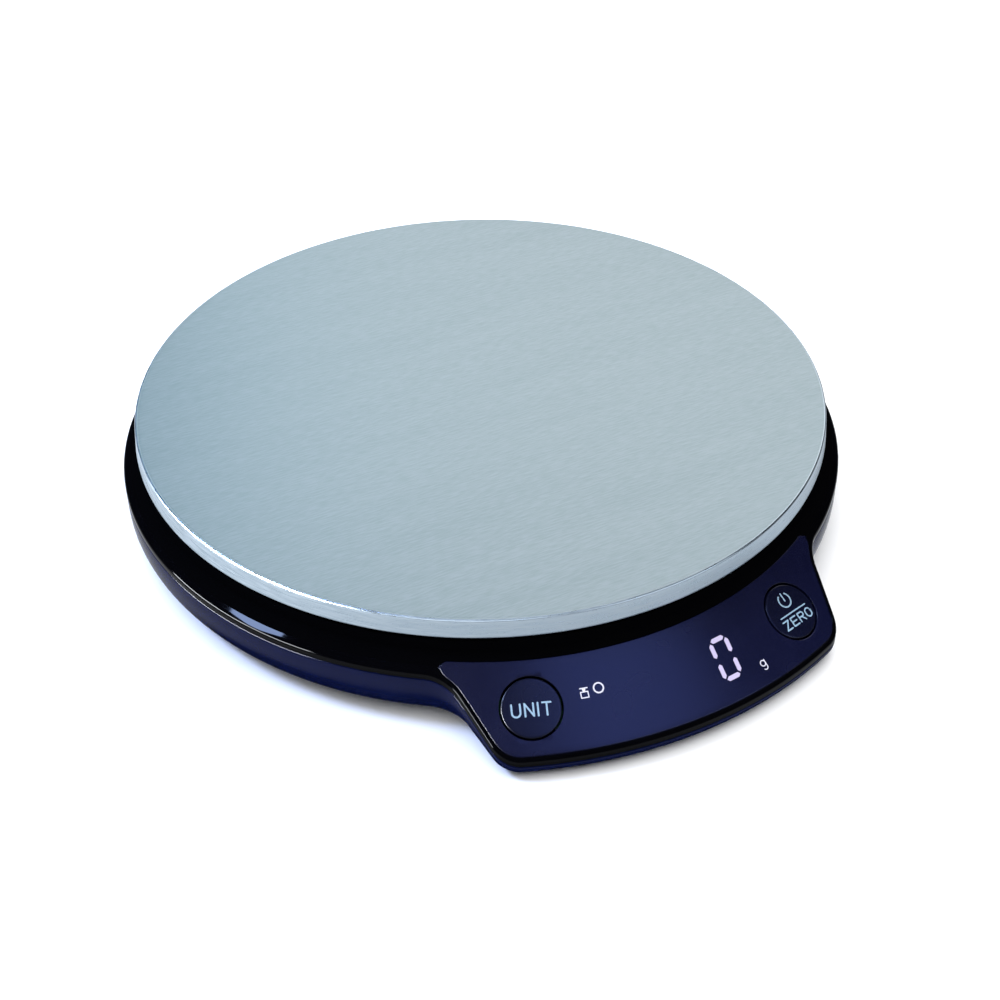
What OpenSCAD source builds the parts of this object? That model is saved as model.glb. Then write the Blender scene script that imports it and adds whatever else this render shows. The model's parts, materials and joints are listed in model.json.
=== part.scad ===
// Round kitchen scale. A stainless pan stands on a load cell inside a two-part plastic case,
// and the case reaches forward in a sloping control tab.
// Millimetres, +Z up. Z = 0 is the table, the tab points to -Y, and X = Y = 0 is the middle of the
// whole scale seen from above, so the pan's axis is a little way along +Y.

/* [Pan] */
// Diameter of the pan's top
pan_d = 200; // [190:1:245]
// Height of the pan's top above the table
total_h = 33; // [32:0.5:42]
// Height of the pan's skirt
skirt_h = 5.65; // [4:0.05:7]
// How far the skirt leans out from top to bottom
skirt_flare = 0.4; // [0:0.05:1]
// Thickness of the pan's sheet
sheet_t = 0.6; // [0.4:0.05:0.75]
// Radius on the pan's top edge
pan_edge_r = 0.5; // [0.2:0.05:0.6]

/* [Case] */
// How far the case stands out beyond the pan
rim_reach = 5; // [4:0.5:8]
// Height of the upper edge of the rim
rim_z = 18.85; // [18:0.05:19.6]
// Slope of the flange and of the control tab, from level
slope = 32.6; // [28:0.1:33]
// Height of the flange's outer edge
band_h = 1.85; // [1.5:0.05:2.2]
// Wall of the case
wall = 2; // [1.6:0.1:2.4]
// Height of the case's underside above the table
ground_gap = 2; // [1.6:0.1:3]
// Radius where the round side turns under
bowl_r = 9.5; // [7:0.5:11]
// Seam between the two shells
seam = 0.3; // [0.2:0.05:0.5]
// Air between the moving pan and the case
pan_gap = 1.1; // [0.9:0.05:1.4]

/* [Control tab] */
// How far the tab reaches beyond the rim
tab_reach = 18.5; // [16:0.5:20]
// Width of the tab across its outer end, before its corners are rounded
tab_w = 97; // [90:1:112]
// Lean of each side of the tab, in degrees
tab_taper = 10.7; // [6:0.1:14]
// Radius of the tab's outer corners
tab_corner_r = 9; // [6:0.5:12]
// Radius where the rim flows into the tab
tab_neck_r = 14; // [10:0.5:18]
// Thickness of the control panel
panel_t = 1; // [0.8:0.05:1.2]
// Border of the case left around the control panel
panel_border = 1.1; // [0.8:0.05:1.6]
// Bed under the control panel
bed_t = 1.6; // [1.4:0.05:1.8]
// Distance from the rim out to the middle of each button
button_out = 7.3; // [6.5:0.1:8.5]
// Distance of each button from the tab's centre line
button_x = 38.8; // [36:0.1:42]
// Diameter of a button
button_d = 15.3; // [12.8:0.1:16]
// Gap around a button
button_gap = 0.5; // [0.3:0.05:0.7]
// Travel of a button
button_travel = 0.5; // [0.3:0.05:0.6]
// Width of the display module
display_w = 46; // [38:1:48]
// Height of the display module along the slope
display_h = 14; // [11:0.5:15]

/* [Load cell] */
// Length of the load cell
cell_l = 70; // [58:1:80]
// Width of the load cell
cell_w = 12.7; // [10:0.1:15]
// Height of the load cell
cell_h = 12; // [10:0.1:12.5]
// Thickness of the plate at each end of the load cell
shim_t = 1; // [0.8:0.1:1.5]
// Diameter of the load cell's screws
cell_screw_d = 4; // [3:0.5:5]

/* [Batteries] */
// Diameter of a battery
battery_d = 10.5; // [9:0.1:11]
// Length of a battery
battery_l = 44.5; // [40:0.5:50]
// Number of batteries
battery_n = 3; // [2:1:3]
// Distance from the pan's axis to the battery bay
bay_y = 20; // [18:0.5:24]
// Thickness of the battery door
door_t = 1.5; // [1.2:0.1:1.5]

/* [Fasteners and feet] */
// Diameter of a case screw
screw_d = 3; // [2.5:0.1:3.5]
// Diameter of a foot
foot_d = 14; // [11:0.5:18]
// Distance of the case screws from the pan's axis, measured in from the pan's edge
screw_in = 10; // [9:0.5:14]

/* [Hidden] */
$fn = 96;

// Fits and small clearances
slack = 0.1;
side_gap = 0.3;
lap = 0.5;
far = 400;
tall = 80;

// Pan and carrier heights
pan_r = pan_d / 2;
skirt_r = pan_r + skirt_flare;
skirt_z = total_h - skirt_h;
pad_t = 0.3;
carrier_top = total_h - sheet_t - pad_t;
carrier_t = 2.2;
carrier_r = pan_r - sheet_t - slack;
rib_z = skirt_z + 0.4;
rib_t = 1.6;

// Case
body_r = pan_r + rim_reach;
neck_r = pan_r + 0.2;
deck_top = skirt_z - pan_gap;
deck_t = 1.8;
deck_z = deck_top - deck_t;
floor_z = ground_gap + wall;
tab_r = body_r + tab_reach;
tab_edge_r = 3;
lip_t = 1.2;
lip_h = 1.6;
joint_z = 15;

// Corner and neck arcs of the tab, on its +X side
side_out = [cos(tab_taper), -sin(tab_taper)];
side_run = [-sin(tab_taper), -cos(tab_taper)];
side_h = tab_w / 2 * cos(tab_taper) + tab_r * sin(tab_taper);
corner_s = sqrt(pow(tab_r - tab_corner_r, 2) - pow(side_h - tab_corner_r, 2));
corner_c = (side_h - tab_corner_r) * side_out + corner_s * side_run;
neck_s = sqrt(pow(body_r + tab_neck_r, 2) - pow(side_h + tab_neck_r, 2));
neck_c = (side_h + tab_neck_r) * side_out + neck_s * side_run;
neck_az = atan2(neck_c[0], -neck_c[1]);

// Control panel
panel_in_r = neck_r + 1.7;
panel_drop = panel_t / cos(slope);
bed_drop = bed_t / cos(slope);
panel_end_az = neck_az - 2.2;
button_r = body_r + button_out;
button_az = asin(button_x / button_r);
hole_r = button_d / 2 + button_gap;
display_r = body_r + 8;

// Button stack, measured down from the panel's face along the button's axis
under_bed = panel_t + bed_t;
ear_z = under_bed + 0.15;
ear_t = 0.8;
ear_r = hole_r + 1.1;
stem_z = ear_z + ear_t + button_travel + 0.15;
switch_z = stem_z + 0.8;
switch_t = 1.6;
board_t = 1;
board_z = switch_z + switch_t;
post_x = ear_r + 0.6;
plunger_r = 1.6;
switch_w = 6;

// Display stack, measured in the same way
display_z = panel_t + 1.8;
display_t = 1.8;
display_board_z = display_z + display_t;

// Load cell
cell_z = deck_z - 3.45 - cell_h;
cell_top = cell_z + cell_h;
cell_mount_l = cell_l / 2 - 12;
cell_hole_x = [cell_l / 2 - 5.5, cell_l / 2 - 18];
cell_bore_r = cell_h * 0.34;
cell_bore_x = cell_bore_r * 0.85;
boss_w = cell_w + 3.3;
cell_post_l = cell_mount_l + 2;
cell_post_x = -cell_l / 4 - cell_mount_l / 4 - 3;

// Main board
main_l = 64;
main_w = 36;
main_y = -52;
main_z = 9;
main_t = 1.6;
main_hole = [main_l / 2 - 4, main_w / 2 - 4];

// Battery bay
pitch = battery_d + 0.7;
bay_w = pitch * battery_n + 0.6;
contact_room = 5;
bay_l = battery_l + 2 * contact_room + 1;
bay_mid_y = bay_y + bay_w / 2;
ledge_top = ground_gap + door_t + 1.5;
battery_z = ledge_top + 0.4 + battery_d / 2;
bay_roof = battery_z + battery_d / 2 + 0.4;
bay_wall = 1.5;
contact_t = 0.4;
hinge_y = bay_y + bay_w + 2.6;
hinge_z = ground_gap + door_t;
hinge_pin_r = 1;
hinge_l = 40;
door_l = bay_l + 3;
door_front_y = bay_y - 1.5;
door_back_y = hinge_y - 2;
finger_r = 7;

// Screws and feet
screw_r = screw_d / 2;
screw_at_r = pan_r - screw_in;
screw_az = [38, 75, 112, 165];
boss_r = screw_r + 2.4;
head_r = screw_r + 1.5;
head_h = 2.2;
head_z = 9;
foot_sink = 1;
foot_at = [[pan_r - 8, 27], [pan_r - 16, 143]];

// Bearing of a point from the pan's axis, anticlockwise from +X
function bearing(p) = atan2(p[1], p[0]);
// Height of the sloping cone at a distance r from the axis, dropped by d
function cone_z(r, d = 0) = rim_z - tan(slope) * (r - body_r) - d;
// Everything is drawn about the pan's axis and then moved so that the whole scale is centred
module at_pan() {
    translate([0, tab_reach / 2, 0]) children();
}
// A copy on each side of the centre line
module both_sides() {
    children();
    mirror([1, 0, 0]) children();
}
// Children stand on the control panel's face, square to it
module on_panel(az, r) {
    rotate([0, 0, az]) translate([0, -r, cone_z(r)]) rotate([slope, 0, 0]) children();
}
module disc(r, z0, z1) {
    translate([0, 0, z0]) cylinder(r = r, h = z1 - z0);
}
module block(w, l, z0, z1) {
    translate([-w / 2, -l / 2, z0]) cube([w, l, z1 - z0]);
}
// Everything between two heights under or over the cone
module cone_band(r0, r1, top, bottom) {
    rotate_extrude()
        polygon([[r0, cone_z(r0, top)], [r1, cone_z(r1, top)],
            [r1, cone_z(r1, bottom)], [r0, cone_z(r0, bottom)]]);
}

// A tall prism over a flat shape, and a tall round bar
module column() {
    translate([0, 0, -1]) linear_extrude(tall) children();
}
module bar(r) {
    disc(r, -1, tall - 1);
}
// Points on an arc about c, from one bearing to another in n steps, leaving out the first
function arc(c, r, a0, a1, n) = [for (i = [1 : n]) c + r * [cos(a0 + (a1 - a0) * i / n), sin(a0 + (a1 - a0) * i / n)]];
// Outline of the tab, moved in by inset: neck, corner and outer end on the +X side, then the same on the other
function tab_half(inset) = concat(
    [(body_r - inset - lap) * neck_c / norm(neck_c)],
    arc(neck_c, tab_neck_r + inset, 180 + bearing(neck_c), 180 - tab_taper, 10),
    arc(corner_c, tab_corner_r - inset, -tab_taper, bearing(corner_c), 10),
    arc([0, 0], tab_r - inset, bearing(corner_c), -90, 10));
function tab_outline(inset) = let (half = tab_half(inset), n = len(half))
    concat(half, [for (i = [n - 2 : -1 : 0]) [-half[i][0], half[i][1]]]);
module tab_column(inset = 0) {
    column() polygon(tab_outline(inset));
}
module body_column(inset = 0) {
    bar(body_r - inset);
    tab_column(inset);
}
// A sector of the plan between two bearings from -Y
module sector(az) {
    polygon([[0, 0], far * [sin(az), -cos(az)], [0, -far], far * [-sin(az), -cos(az)]]);
}
module panel_column(grow = 0) {
    difference() {
        intersection() {
            body_column(panel_border - grow);
            column() sector(panel_end_az + grow / 2);
        }
        translate([0, 0, -1]) bar(panel_in_r - grow);
        translate([0, 0, 1]) bar(panel_in_r - grow);
    }
}

module screw_places() {
    both_sides() for (az = screw_az) rotate(az) translate([0, -screw_at_r]) children();
}
module foot_places() {
    both_sides() for (f = foot_at) rotate(f[1]) translate([0, -f[0]]) children();
}
module cell_places(side) {
    for (x = cell_hole_x) translate([side * x, 0]) children();
}
module main_places() {
    both_sides() for (y = [-1, 1]) translate([main_hole[0], main_y + y * main_hole[1]]) children();
}

// Round bowl of the lower shell, as a solid of revolution
module bowl(r, turn) {
    rotate_extrude() {
        square([r - turn, far]);
        translate([0, turn]) square([r, far]);
        translate([r - turn, turn]) intersection() {
            circle(r = turn);
            translate([0, -turn]) square(turn);
        }
    }
}
module lower_outside() {
    intersection() {
        union() {
            translate([0, 0, ground_gap]) bowl(body_r, bowl_r);
            intersection() {
                tab_column();
                translate([0, 0, ground_gap]) bowl(tab_r, tab_edge_r);
            }
        }
        cone_band(0, far, band_h + seam, far);
    }
}
module lower_inside() {
    translate([0, 0, floor_z]) bowl(body_r - wall, bowl_r - wall);
    intersection() {
        tab_column(wall);
        translate([0, 0, floor_z]) bowl(tab_r - wall, tab_edge_r - wall);
    }
}
module door_cut() {
    translate([0, 0, -1]) {
        translate([-bay_l / 2, bay_y, 0]) cube([bay_l, bay_w, tall]);
        translate([-door_l / 2 - side_gap, door_front_y - side_gap, 0])
            cube([door_l + 2 * side_gap, hinge_y - 1.2 - door_front_y + side_gap, hinge_z + 1]);
        translate([-hinge_l / 2 - side_gap, hinge_y - 2, 0])
            cube([hinge_l + 2 * side_gap, 2 + hinge_pin_r + 0.75, hinge_z + 1]);
    }
    translate([-hinge_l / 2 - side_gap, hinge_y, hinge_z]) rotate([0, 90, 0])
        cylinder(r = hinge_pin_r + 0.75, h = hinge_l + 2 * side_gap);
    translate([-hinge_l / 2 - 2.6, hinge_y, hinge_z]) rotate([0, 90, 0])
        cylinder(r = hinge_pin_r + 0.06, h = hinge_l + 5.2);
    translate([0, door_front_y, -1]) intersection() {
        cylinder(r = finger_r, h = hinge_z + 1);
        translate([-finger_r, -finger_r, 0]) cube([2 * finger_r, finger_r, tall]);
    }
}
module bay_box() {
    translate([-bay_l / 2 - bay_wall, bay_y - bay_wall, floor_z - lap])
        cube([bay_l + 2 * bay_wall, bay_w + 2 * bay_wall, bay_roof + bay_wall - floor_z + lap]);
    translate([0, (door_front_y - 9 + hinge_y + 4) / 2, 0])
        block(door_l + 6, hinge_y + 4 - door_front_y + 9, floor_z - lap, ledge_top);
}
// Room that the lower shell leaves under the tab's bed and lip
module under_tab() {
    intersection() {
        tab_column(wall);
        cone_band(neck_r, far, 0, panel_drop + bed_drop + side_gap);
    }
    intersection() {
        difference() {
            tab_column(wall);
            translate([0, 0, 1]) tab_column(wall + slack + lip_t + side_gap);
        }
        cone_band(neck_r, far, 0, band_h + lip_h + side_gap);
    }
}
module lower_shell() {
    color([0.05, 0.06, 0.12]) at_pan() difference() {
        union() {
            difference() {
                lower_outside();
                lower_inside();
            }
            bay_box();
            screw_places() disc(boss_r, ground_gap, joint_z);
            main_places() disc(3, floor_z - lap, main_z);
            translate([cell_post_x, 0, 0])
                block(cell_post_l, boss_w, floor_z - lap, cell_z - shim_t);
            translate([cell_l / 2 - 7, 0, 0]) disc(4, floor_z - lap, floor_z + 1);
            for (a = [50 : 40 : 310]) rotate(a) translate([0, -pan_r * 0.75, 0])
                block(1.4, pan_r * 0.3, floor_z - lap, floor_z + 1.2);
        }
        under_tab();
        door_cut();
        translate([-bay_l / 2, bay_y, ledge_top]) cube([bay_l, bay_w, bay_roof - ledge_top]);
        screw_places() {
            disc(head_r + 0.2, 0, head_z);
            disc(screw_r + 0.15, 0, tall);
        }
        cell_places(-1) {
            disc(cell_screw_d / 2 + 0.2, 0, tall);
            disc(cell_screw_d / 2 + 2, 0, ground_gap + 3);
        }
        main_places() disc(1, main_z - 4, tall);
        foot_places() disc(foot_d / 2 + slack, 0, ground_gap + foot_sink);
    }
}

module under_panel() {
    intersection() {
        children();
        cone_band(0, far, panel_drop, far);
    }
}
module button_posts(az) {
    for (x = [-post_x, post_x]) on_panel(az, button_r) translate([x, 0, -board_z])
        cylinder(r = 1.2, h = board_z - panel_t - lap);
}
module display_frame() {
    on_panel(0, display_r) translate([0, 0, -display_board_z]) linear_extrude(display_t)
        difference() {
            square([display_w + 3, display_h + 3], center = true);
            square([display_w + 2 * side_gap, display_h + 2 * side_gap], center = true);
        }
}
module upper_shell() {
    color([0.01, 0.01, 0.015]) at_pan() difference() {
        union() {
            intersection() {
                body_column();
                cone_band(neck_r - wall, far, 0, band_h);
            }
            difference() {
                disc(neck_r, rim_z - 1, deck_top);
                disc(neck_r - wall, 0, deck_z);
                cone_band(neck_r - wall - lap, far, band_h, far);
            }
            difference() {
                intersection() {
                    body_column(wall + slack);
                    cone_band(neck_r - wall, far, band_h - lap, band_h + lip_h);
                }
                translate([0, 0, -lap]) body_column(wall + slack + lip_t);
                translate([0, 0, lap]) body_column(wall + slack + lip_t);
            }
            intersection() {
                tab_column(wall + slack);
                cone_band(neck_r - wall, far, band_h - lap, panel_drop + bed_drop);
            }
            under_panel() {
                button_posts(button_az);
                button_posts(-button_az);
                display_frame();
            }
            screw_places() disc(boss_r, joint_z + side_gap, deck_top - lap);
        }
        intersection() {
            panel_column(slack);
            cone_band(neck_r, far, -1, panel_drop);
        }
        for (az = [-button_az, button_az]) on_panel(az, button_r)
            translate([0, 0, -2 * under_bed]) cylinder(r = hole_r, h = 3 * under_bed);
        on_panel(0, display_r) translate([0, 0, -2 * under_bed])
            linear_extrude(3 * under_bed)
                square([display_w + 2 * side_gap, display_h + 2 * side_gap], center = true);
        translate([cell_hole_x[0] / 2 + cell_hole_x[1] / 2, 0, 0])
            block(28, boss_w + 6, deck_z - 1, tall);
        screw_places() disc(screw_r, 0, deck_z - 1.5);
    }
}

module control_panel() {
    color([0.06, 0.08, 0.18]) at_pan() difference() {
        intersection() {
            panel_column();
            cone_band(neck_r, far, 0, panel_drop);
        }
        for (az = [-button_az, button_az]) on_panel(az, button_r)
            translate([0, 0, -2 * under_bed]) cylinder(r = hole_r, h = 3 * under_bed);
    }
}

module main_board() {
    color([0.05, 0.3, 0.15]) at_pan() difference() {
        translate([0, main_y, 0]) block(main_l, main_w, main_z, main_z + main_t);
        main_places() disc(1.3, 0, tall);
    }
}
module chip(w, l, h, pins, pin_pitch) {
    block(w, l, 0.15, h);
    for (side = [-1, 1]) for (i = [0 : pins - 1])
        translate([(i - (pins - 1) / 2) * pin_pitch, side * (l / 2 + 0.45), 0])
            block(pin_pitch * 0.45, 1, 0, h * 0.5);
}
module controller_chip() {
    color([0.08, 0.08, 0.08]) at_pan() translate([6, main_y - 2, main_z + main_t]) chip(10, 10, 1.6, 10, 0.9);
}
module converter_chip() {
    color([0.1, 0.1, 0.1]) at_pan() translate([-14, main_y + 4, main_z + main_t]) chip(9, 4, 1.5, 8, 1.1);
}
module smoothing_capacitor() {
    color([0.1, 0.12, 0.3]) at_pan() for (x = [-22, 20]) translate([x, main_y - 9, main_z + main_t])
        cylinder(r = 2.5, h = 5.4);
}

module display_board() {
    color([0.05, 0.3, 0.15]) at_pan() on_panel(0, display_r)
        translate([0, 0, -display_board_z - board_t]) linear_extrude(board_t)
            square([display_w + 5, display_h + 3], center = true);
}
module display_module() {
    color([0.9, 0.9, 0.9]) at_pan() on_panel(0, display_r) translate([0, 0, -display_board_z])
        linear_extrude(display_t) square([display_w, display_h], center = true);
}
module switch_board(az) {
    color([0.05, 0.3, 0.15]) at_pan() on_panel(az, button_r) translate([0, 0, -board_z - board_t])
        linear_extrude(board_t) square([2 * post_x + 2.6, 9], center = true);
}
module tact_switch(az) {
    color([0.15, 0.15, 0.15]) at_pan() on_panel(az, button_r) translate([0, 0, -board_z]) difference() {
        linear_extrude(switch_t) square(switch_w, center = true);
        translate([0, 0, 0.5]) cylinder(r = plunger_r + 0.15, h = switch_t);
    }
}
module switch_plunger(az) {
    color([0.7, 0.1, 0.1]) at_pan() on_panel(az, button_r) translate([0, 0, -switch_z - 0.2])
        cylinder(r = plunger_r, h = switch_z + 0.2 - stem_z);
}
module button_cap(az) {
    color([0.06, 0.08, 0.16]) at_pan() on_panel(az, button_r) {
        difference() {
            translate([0, 0, -ear_z - ear_t]) cylinder(r = button_d / 2, h = ear_z + ear_t);
            translate([0, 0, -ear_z - 2 * ear_t])
                cylinder(r = button_d / 2 - 1.2, h = ear_z + 2 * ear_t - 1.4);
        }
        translate([0, 0, -ear_z - ear_t]) linear_extrude(ear_t) difference() {
            intersection() {
                circle(r = ear_r);
                square([8, 4 * ear_r], center = true);
            }
            circle(r = button_d / 2 - lap);
        }
        translate([0, 0, -stem_z]) cylinder(r = 2, h = stem_z - 1);
    }
}
module unit_switch_board() { switch_board(-button_az); }
module zero_switch_board() { switch_board(button_az); }
module unit_switch() { tact_switch(-button_az); }
module zero_switch() { tact_switch(button_az); }
module unit_switch_plunger() { switch_plunger(-button_az); }
module zero_switch_plunger() { switch_plunger(button_az); }
module unit_button_cap() { button_cap(-button_az); }
module zero_button_cap() { button_cap(button_az); }

module load_cell() {
    color([0.75, 0.76, 0.78]) at_pan() difference() {
        block(cell_l, cell_w, cell_z, cell_top);
        for (side = [-1, 1]) translate([side * cell_bore_x, 0, cell_z + cell_h / 2])
            rotate([90, 0, 0]) cylinder(r = cell_bore_r, h = far, center = true);
        for (side = [-1, 1]) cell_places(side) disc(cell_screw_d / 2, 0, tall);
    }
}
module strain_gauges() {
    color([0.8, 0.6, 0.3]) at_pan() for (side = [-1, 1]) translate([side * cell_bore_x, 0, 0]) {
        block(5, 6, cell_top, cell_top + 0.2);
        block(5, 6, cell_z - 0.2, cell_z);
    }
}
module gauge_sealant() {
    color([0.92, 0.92, 0.9]) at_pan() {
        block(20, cell_w - 2, cell_top + 0.2, cell_top + 1);
        block(20, cell_w - 2, cell_z - 1, cell_z - 0.2);
    }
}
module cell_plate(side, z0) {
    mid = (cell_hole_x[0] + cell_hole_x[1]) / 2;
    color([0.6, 0.62, 0.65]) at_pan() difference() {
        translate([side * mid, 0, 0]) block(22, cell_w, z0, z0 + shim_t);
        cell_places(side) disc(cell_screw_d / 2 + 0.2, 0, tall);
    }
}
module lower_cell_spacer() { cell_plate(-1, cell_z - shim_t); }
module upper_cell_spacer() { cell_plate(1, cell_top); }
module cell_screw(seat, tip, up) {
    z_head = up ? seat : seat - 2.4;
    disc(cell_screw_d / 2, min(seat, tip), max(seat, tip));
    difference() {
        disc(cell_screw_d / 2 + 1.5, z_head, z_head + 2.4);
        translate([0, 0, up ? z_head + 1 : z_head - 0.1]) cylinder(r = 1.4, h = 1.5, $fn = 6);
    }
}
module lower_cell_screws() {
    color([0.7, 0.7, 0.72]) at_pan() cell_places(-1) cell_screw(ground_gap + 3, cell_top - 2, false);
}
module upper_cell_screws() {
    color([0.7, 0.7, 0.72]) at_pan() cell_places(1) cell_screw(carrier_top - 3.4, cell_z + 2, true);
}
module overload_stop() {
    color([0.15, 0.15, 0.15]) at_pan() translate([cell_l / 2 - 7, 0, 0]) disc(3, floor_z + 1, cell_z - 1.4);
}

// Centre line of each battery
module battery_places() {
    for (i = [0 : battery_n - 1]) translate([0, bay_y + bay_w / 2 + (i - (battery_n - 1) / 2) * pitch,
        battery_z]) rotate([0, 0, i % 2 * 180]) children();
}
module batteries() {
    color([0.15, 0.2, 0.5]) at_pan() battery_places() rotate([0, 90, 0]) {
        cylinder(r = battery_d / 2, h = battery_l - 1, center = true);
        cylinder(r = 1.9, h = battery_l / 2 + 0.5);
    }
}
module battery_springs() {
    color([0.8, 0.8, 0.82]) at_pan() battery_places() translate([-bay_l / 2 + 2 * contact_t, 0, 0])
        rotate([0, 90, 0]) {
            cylinder(r = 3.4, h = 0.5);
            linear_extrude(contact_room - 0.3, twist = -1080, slices = 60, $fn = 6)
                translate([2.5, 0]) circle(r = 0.45);
        }
}
module battery_contacts() {
    color([0.8, 0.8, 0.82]) at_pan() battery_places() {
        translate([-bay_l / 2 + contact_t, 0, 0]) cube([2 * contact_t, 8, 9], center = true);
        translate([bay_l / 2 - contact_t, 0, 0]) cube([2 * contact_t, 8, 9], center = true);
        translate([battery_l / 2 + 0.5, -2, -2]) cube([bay_l / 2 - battery_l / 2 - 0.5, 4, 4]);
    }
}
// A round wire through a list of points, each length running a little past its bends
module wire(points, r) {
    for (i = [0 : len(points) - 2]) {
        run = points[i + 1] - points[i];
        start = i == 0 ? 0 : 0.7 * r;
        stop = i == len(points) - 2 ? 0 : 0.7 * r;
        translate(points[i]) rotate([0, acos(run[2] / norm(run)), atan2(run[1], run[0])])
            translate([0, 0, -start]) cylinder(r = r, h = norm(run) + start + stop);
    }
}
module battery_wires() {
    for (i = [0, 1]) {
        out_x = cell_post_x - cell_post_l / 2 - 1.5 - 3 * i;
        in_x = -main_l / 2 + 6 - 2.5 * i;
        from_y = bay_mid_y + 3 * i;
        to_y = main_y + 10 - 3 * i;
        wire_z = main_z + main_t + 2;
        color([0.6 - 0.5 * i, 0.1, 0.1]) at_pan() wire([[-bay_l / 2 - bay_wall, from_y, wire_z],
            [out_x, from_y, wire_z], [out_x, to_y, wire_z], [in_x, to_y, wire_z],
            [in_x, to_y, main_z + main_t]], 0.6);
    }
}
module cell_cable() {
    low_z = cell_z - 1.2;
    run_z = main_z + main_t + 2;
    back_y = main_y + main_w / 2 + 6;
    board_y = main_y + main_w / 2 - 6;
    color([0.9, 0.9, 0.9]) at_pan() wire([[-4, -cell_w / 2 + 1, low_z], [-4, back_y, low_z],
        [-4, back_y, run_z], [-4, board_y, run_z], [-4, board_y, main_z + main_t]], 0.9);
}
module display_ribbon() {
    square_out = [0, -sin(slope), cos(slope)];
    board_back = [0, -display_r, cone_z(display_r)] - (display_board_z + board_t) * square_out;
    end = board_back + 5 * [0, cos(slope), sin(slope)];
    bend = end - 5.5 * square_out;
    start_y = main_y - main_w / 2 + 3;
    color([0.85, 0.85, 0.85]) at_pan() wire([[0, start_y, main_z], [0, start_y, bend[2]], bend, end], 0.8);
}
module board_screws() {
    color([0.75, 0.75, 0.78]) at_pan() main_places() {
        disc(1, main_z - 3.5, main_z + main_t);
        disc(2.1, main_z + main_t, main_z + main_t + 1.4);
    }
}
module case_screws() {
    color([0.2, 0.2, 0.22]) at_pan() screw_places() {
        disc(screw_r, head_z - lap, deck_z - 3);
        difference() {
            disc(head_r, head_z - head_h, head_z);
            translate([0, 0, head_z - head_h - 0.1]) cylinder(r = 1.3, h = 1.3, $fn = 6);
        }
    }
}
module rubber_feet() {
    color([0.12, 0.12, 0.12]) at_pan() foot_places() {
        rotate_extrude() {
            square([foot_d / 2 - 1, ground_gap + foot_sink]);
            translate([0, 1]) square([foot_d / 2, ground_gap + foot_sink - 1]);
            translate([foot_d / 2 - 1, 1]) circle(r = 1);
        }
    }
}

module platform_cover() {
    edge = [for (a = [90 : -15 : 0])
        [pan_r - pan_edge_r, total_h - pan_edge_r] + pan_edge_r * [cos(a), sin(a)]];
    color([0.75, 0.78, 0.8]) at_pan() rotate_extrude() polygon(concat([[0, total_h]], edge,
        [[skirt_r, skirt_z], [skirt_r - sheet_t, skirt_z], [pan_r - sheet_t, total_h - sheet_t],
            [0, total_h - sheet_t]]));
}
module platform_carrier() {
    color([0.85, 0.85, 0.85]) at_pan() difference() {
        union() {
            disc(carrier_r, carrier_top - carrier_t, carrier_top);
            for (r = [carrier_r, carrier_r * 0.66, carrier_r * 0.34]) difference() {
                disc(r, rib_z, carrier_top - lap);
                disc(r - rib_t, 0, tall);
            }
            for (a = [10 : 30 : 340]) rotate(a) translate([carrier_r * 0.55, 0, 0])
                block(carrier_r * 0.86, rib_t, rib_z, carrier_top - lap);
            translate([(cell_hole_x[0] + cell_hole_x[1]) / 2, 0, 0])
                block(22, boss_w, cell_top + shim_t, carrier_top - lap);
        }
        cell_places(1) {
            disc(cell_screw_d / 2 + 0.2, 0, tall);
            disc(cell_screw_d / 2 + 2, carrier_top - 3.4, tall);
        }
    }
}
module adhesive_pads() {
    color([0.95, 0.95, 0.95]) at_pan() {
        for (a = [0 : 60 : 300]) rotate(a + 30) translate([pan_r * 0.7, 0, 0])
            disc(12, carrier_top, carrier_top + pad_t);
        translate([-18, 0, 0]) disc(12, carrier_top, carrier_top + pad_t);
    }
}

module battery_door() {
    color([0.05, 0.06, 0.12]) at_pan() {
        translate([-door_l / 2, door_front_y, ground_gap]) cube([door_l, door_back_y - door_front_y, door_t]);
        translate([-hinge_l / 2, door_back_y - lap, ground_gap]) cube([hinge_l, 2 + lap, door_t]);
        translate([-hinge_l / 2, hinge_y, hinge_z]) rotate([0, 90, 0])
            cylinder(r = hinge_pin_r + 0.5, h = hinge_l);
        translate([-hinge_l / 2 - 2.2, hinge_y, hinge_z]) rotate([0, 90, 0])
            cylinder(r = hinge_pin_r, h = hinge_l + 4.4);
    }
}
module door_pad() {
    color([0.2, 0.2, 0.2]) at_pan() translate([0, bay_mid_y, 0])
        block(battery_l - 6, bay_w - 6, hinge_z, ledge_top - 0.1);
}

lower_shell();
upper_shell();
control_panel();
main_board();
controller_chip();
converter_chip();
smoothing_capacitor();
display_board();
display_module();
unit_switch_board();
unit_switch();
zero_switch_board();
zero_switch();
load_cell();
strain_gauges();
gauge_sealant();
lower_cell_spacer();
lower_cell_screws();
overload_stop();
batteries();
battery_springs();
battery_contacts();
battery_wires();
cell_cable();
display_ribbon();
board_screws();
case_screws();
rubber_feet();
platform_cover();
platform_carrier();
adhesive_pads();
upper_cell_spacer();
upper_cell_screws();
unit_button_cap();
unit_switch_plunger();
zero_button_cap();
zero_switch_plunger();
battery_door();
door_pad();
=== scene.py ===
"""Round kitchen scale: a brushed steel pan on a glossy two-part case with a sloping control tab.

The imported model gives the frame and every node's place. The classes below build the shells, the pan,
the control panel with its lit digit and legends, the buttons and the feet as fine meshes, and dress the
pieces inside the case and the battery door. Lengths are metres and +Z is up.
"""

import json
import logging
import math
from dataclasses import dataclass, field
from enum import Enum
from typing import Sequence

import bmesh
import bpy
from mathutils import Matrix, Vector

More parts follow.
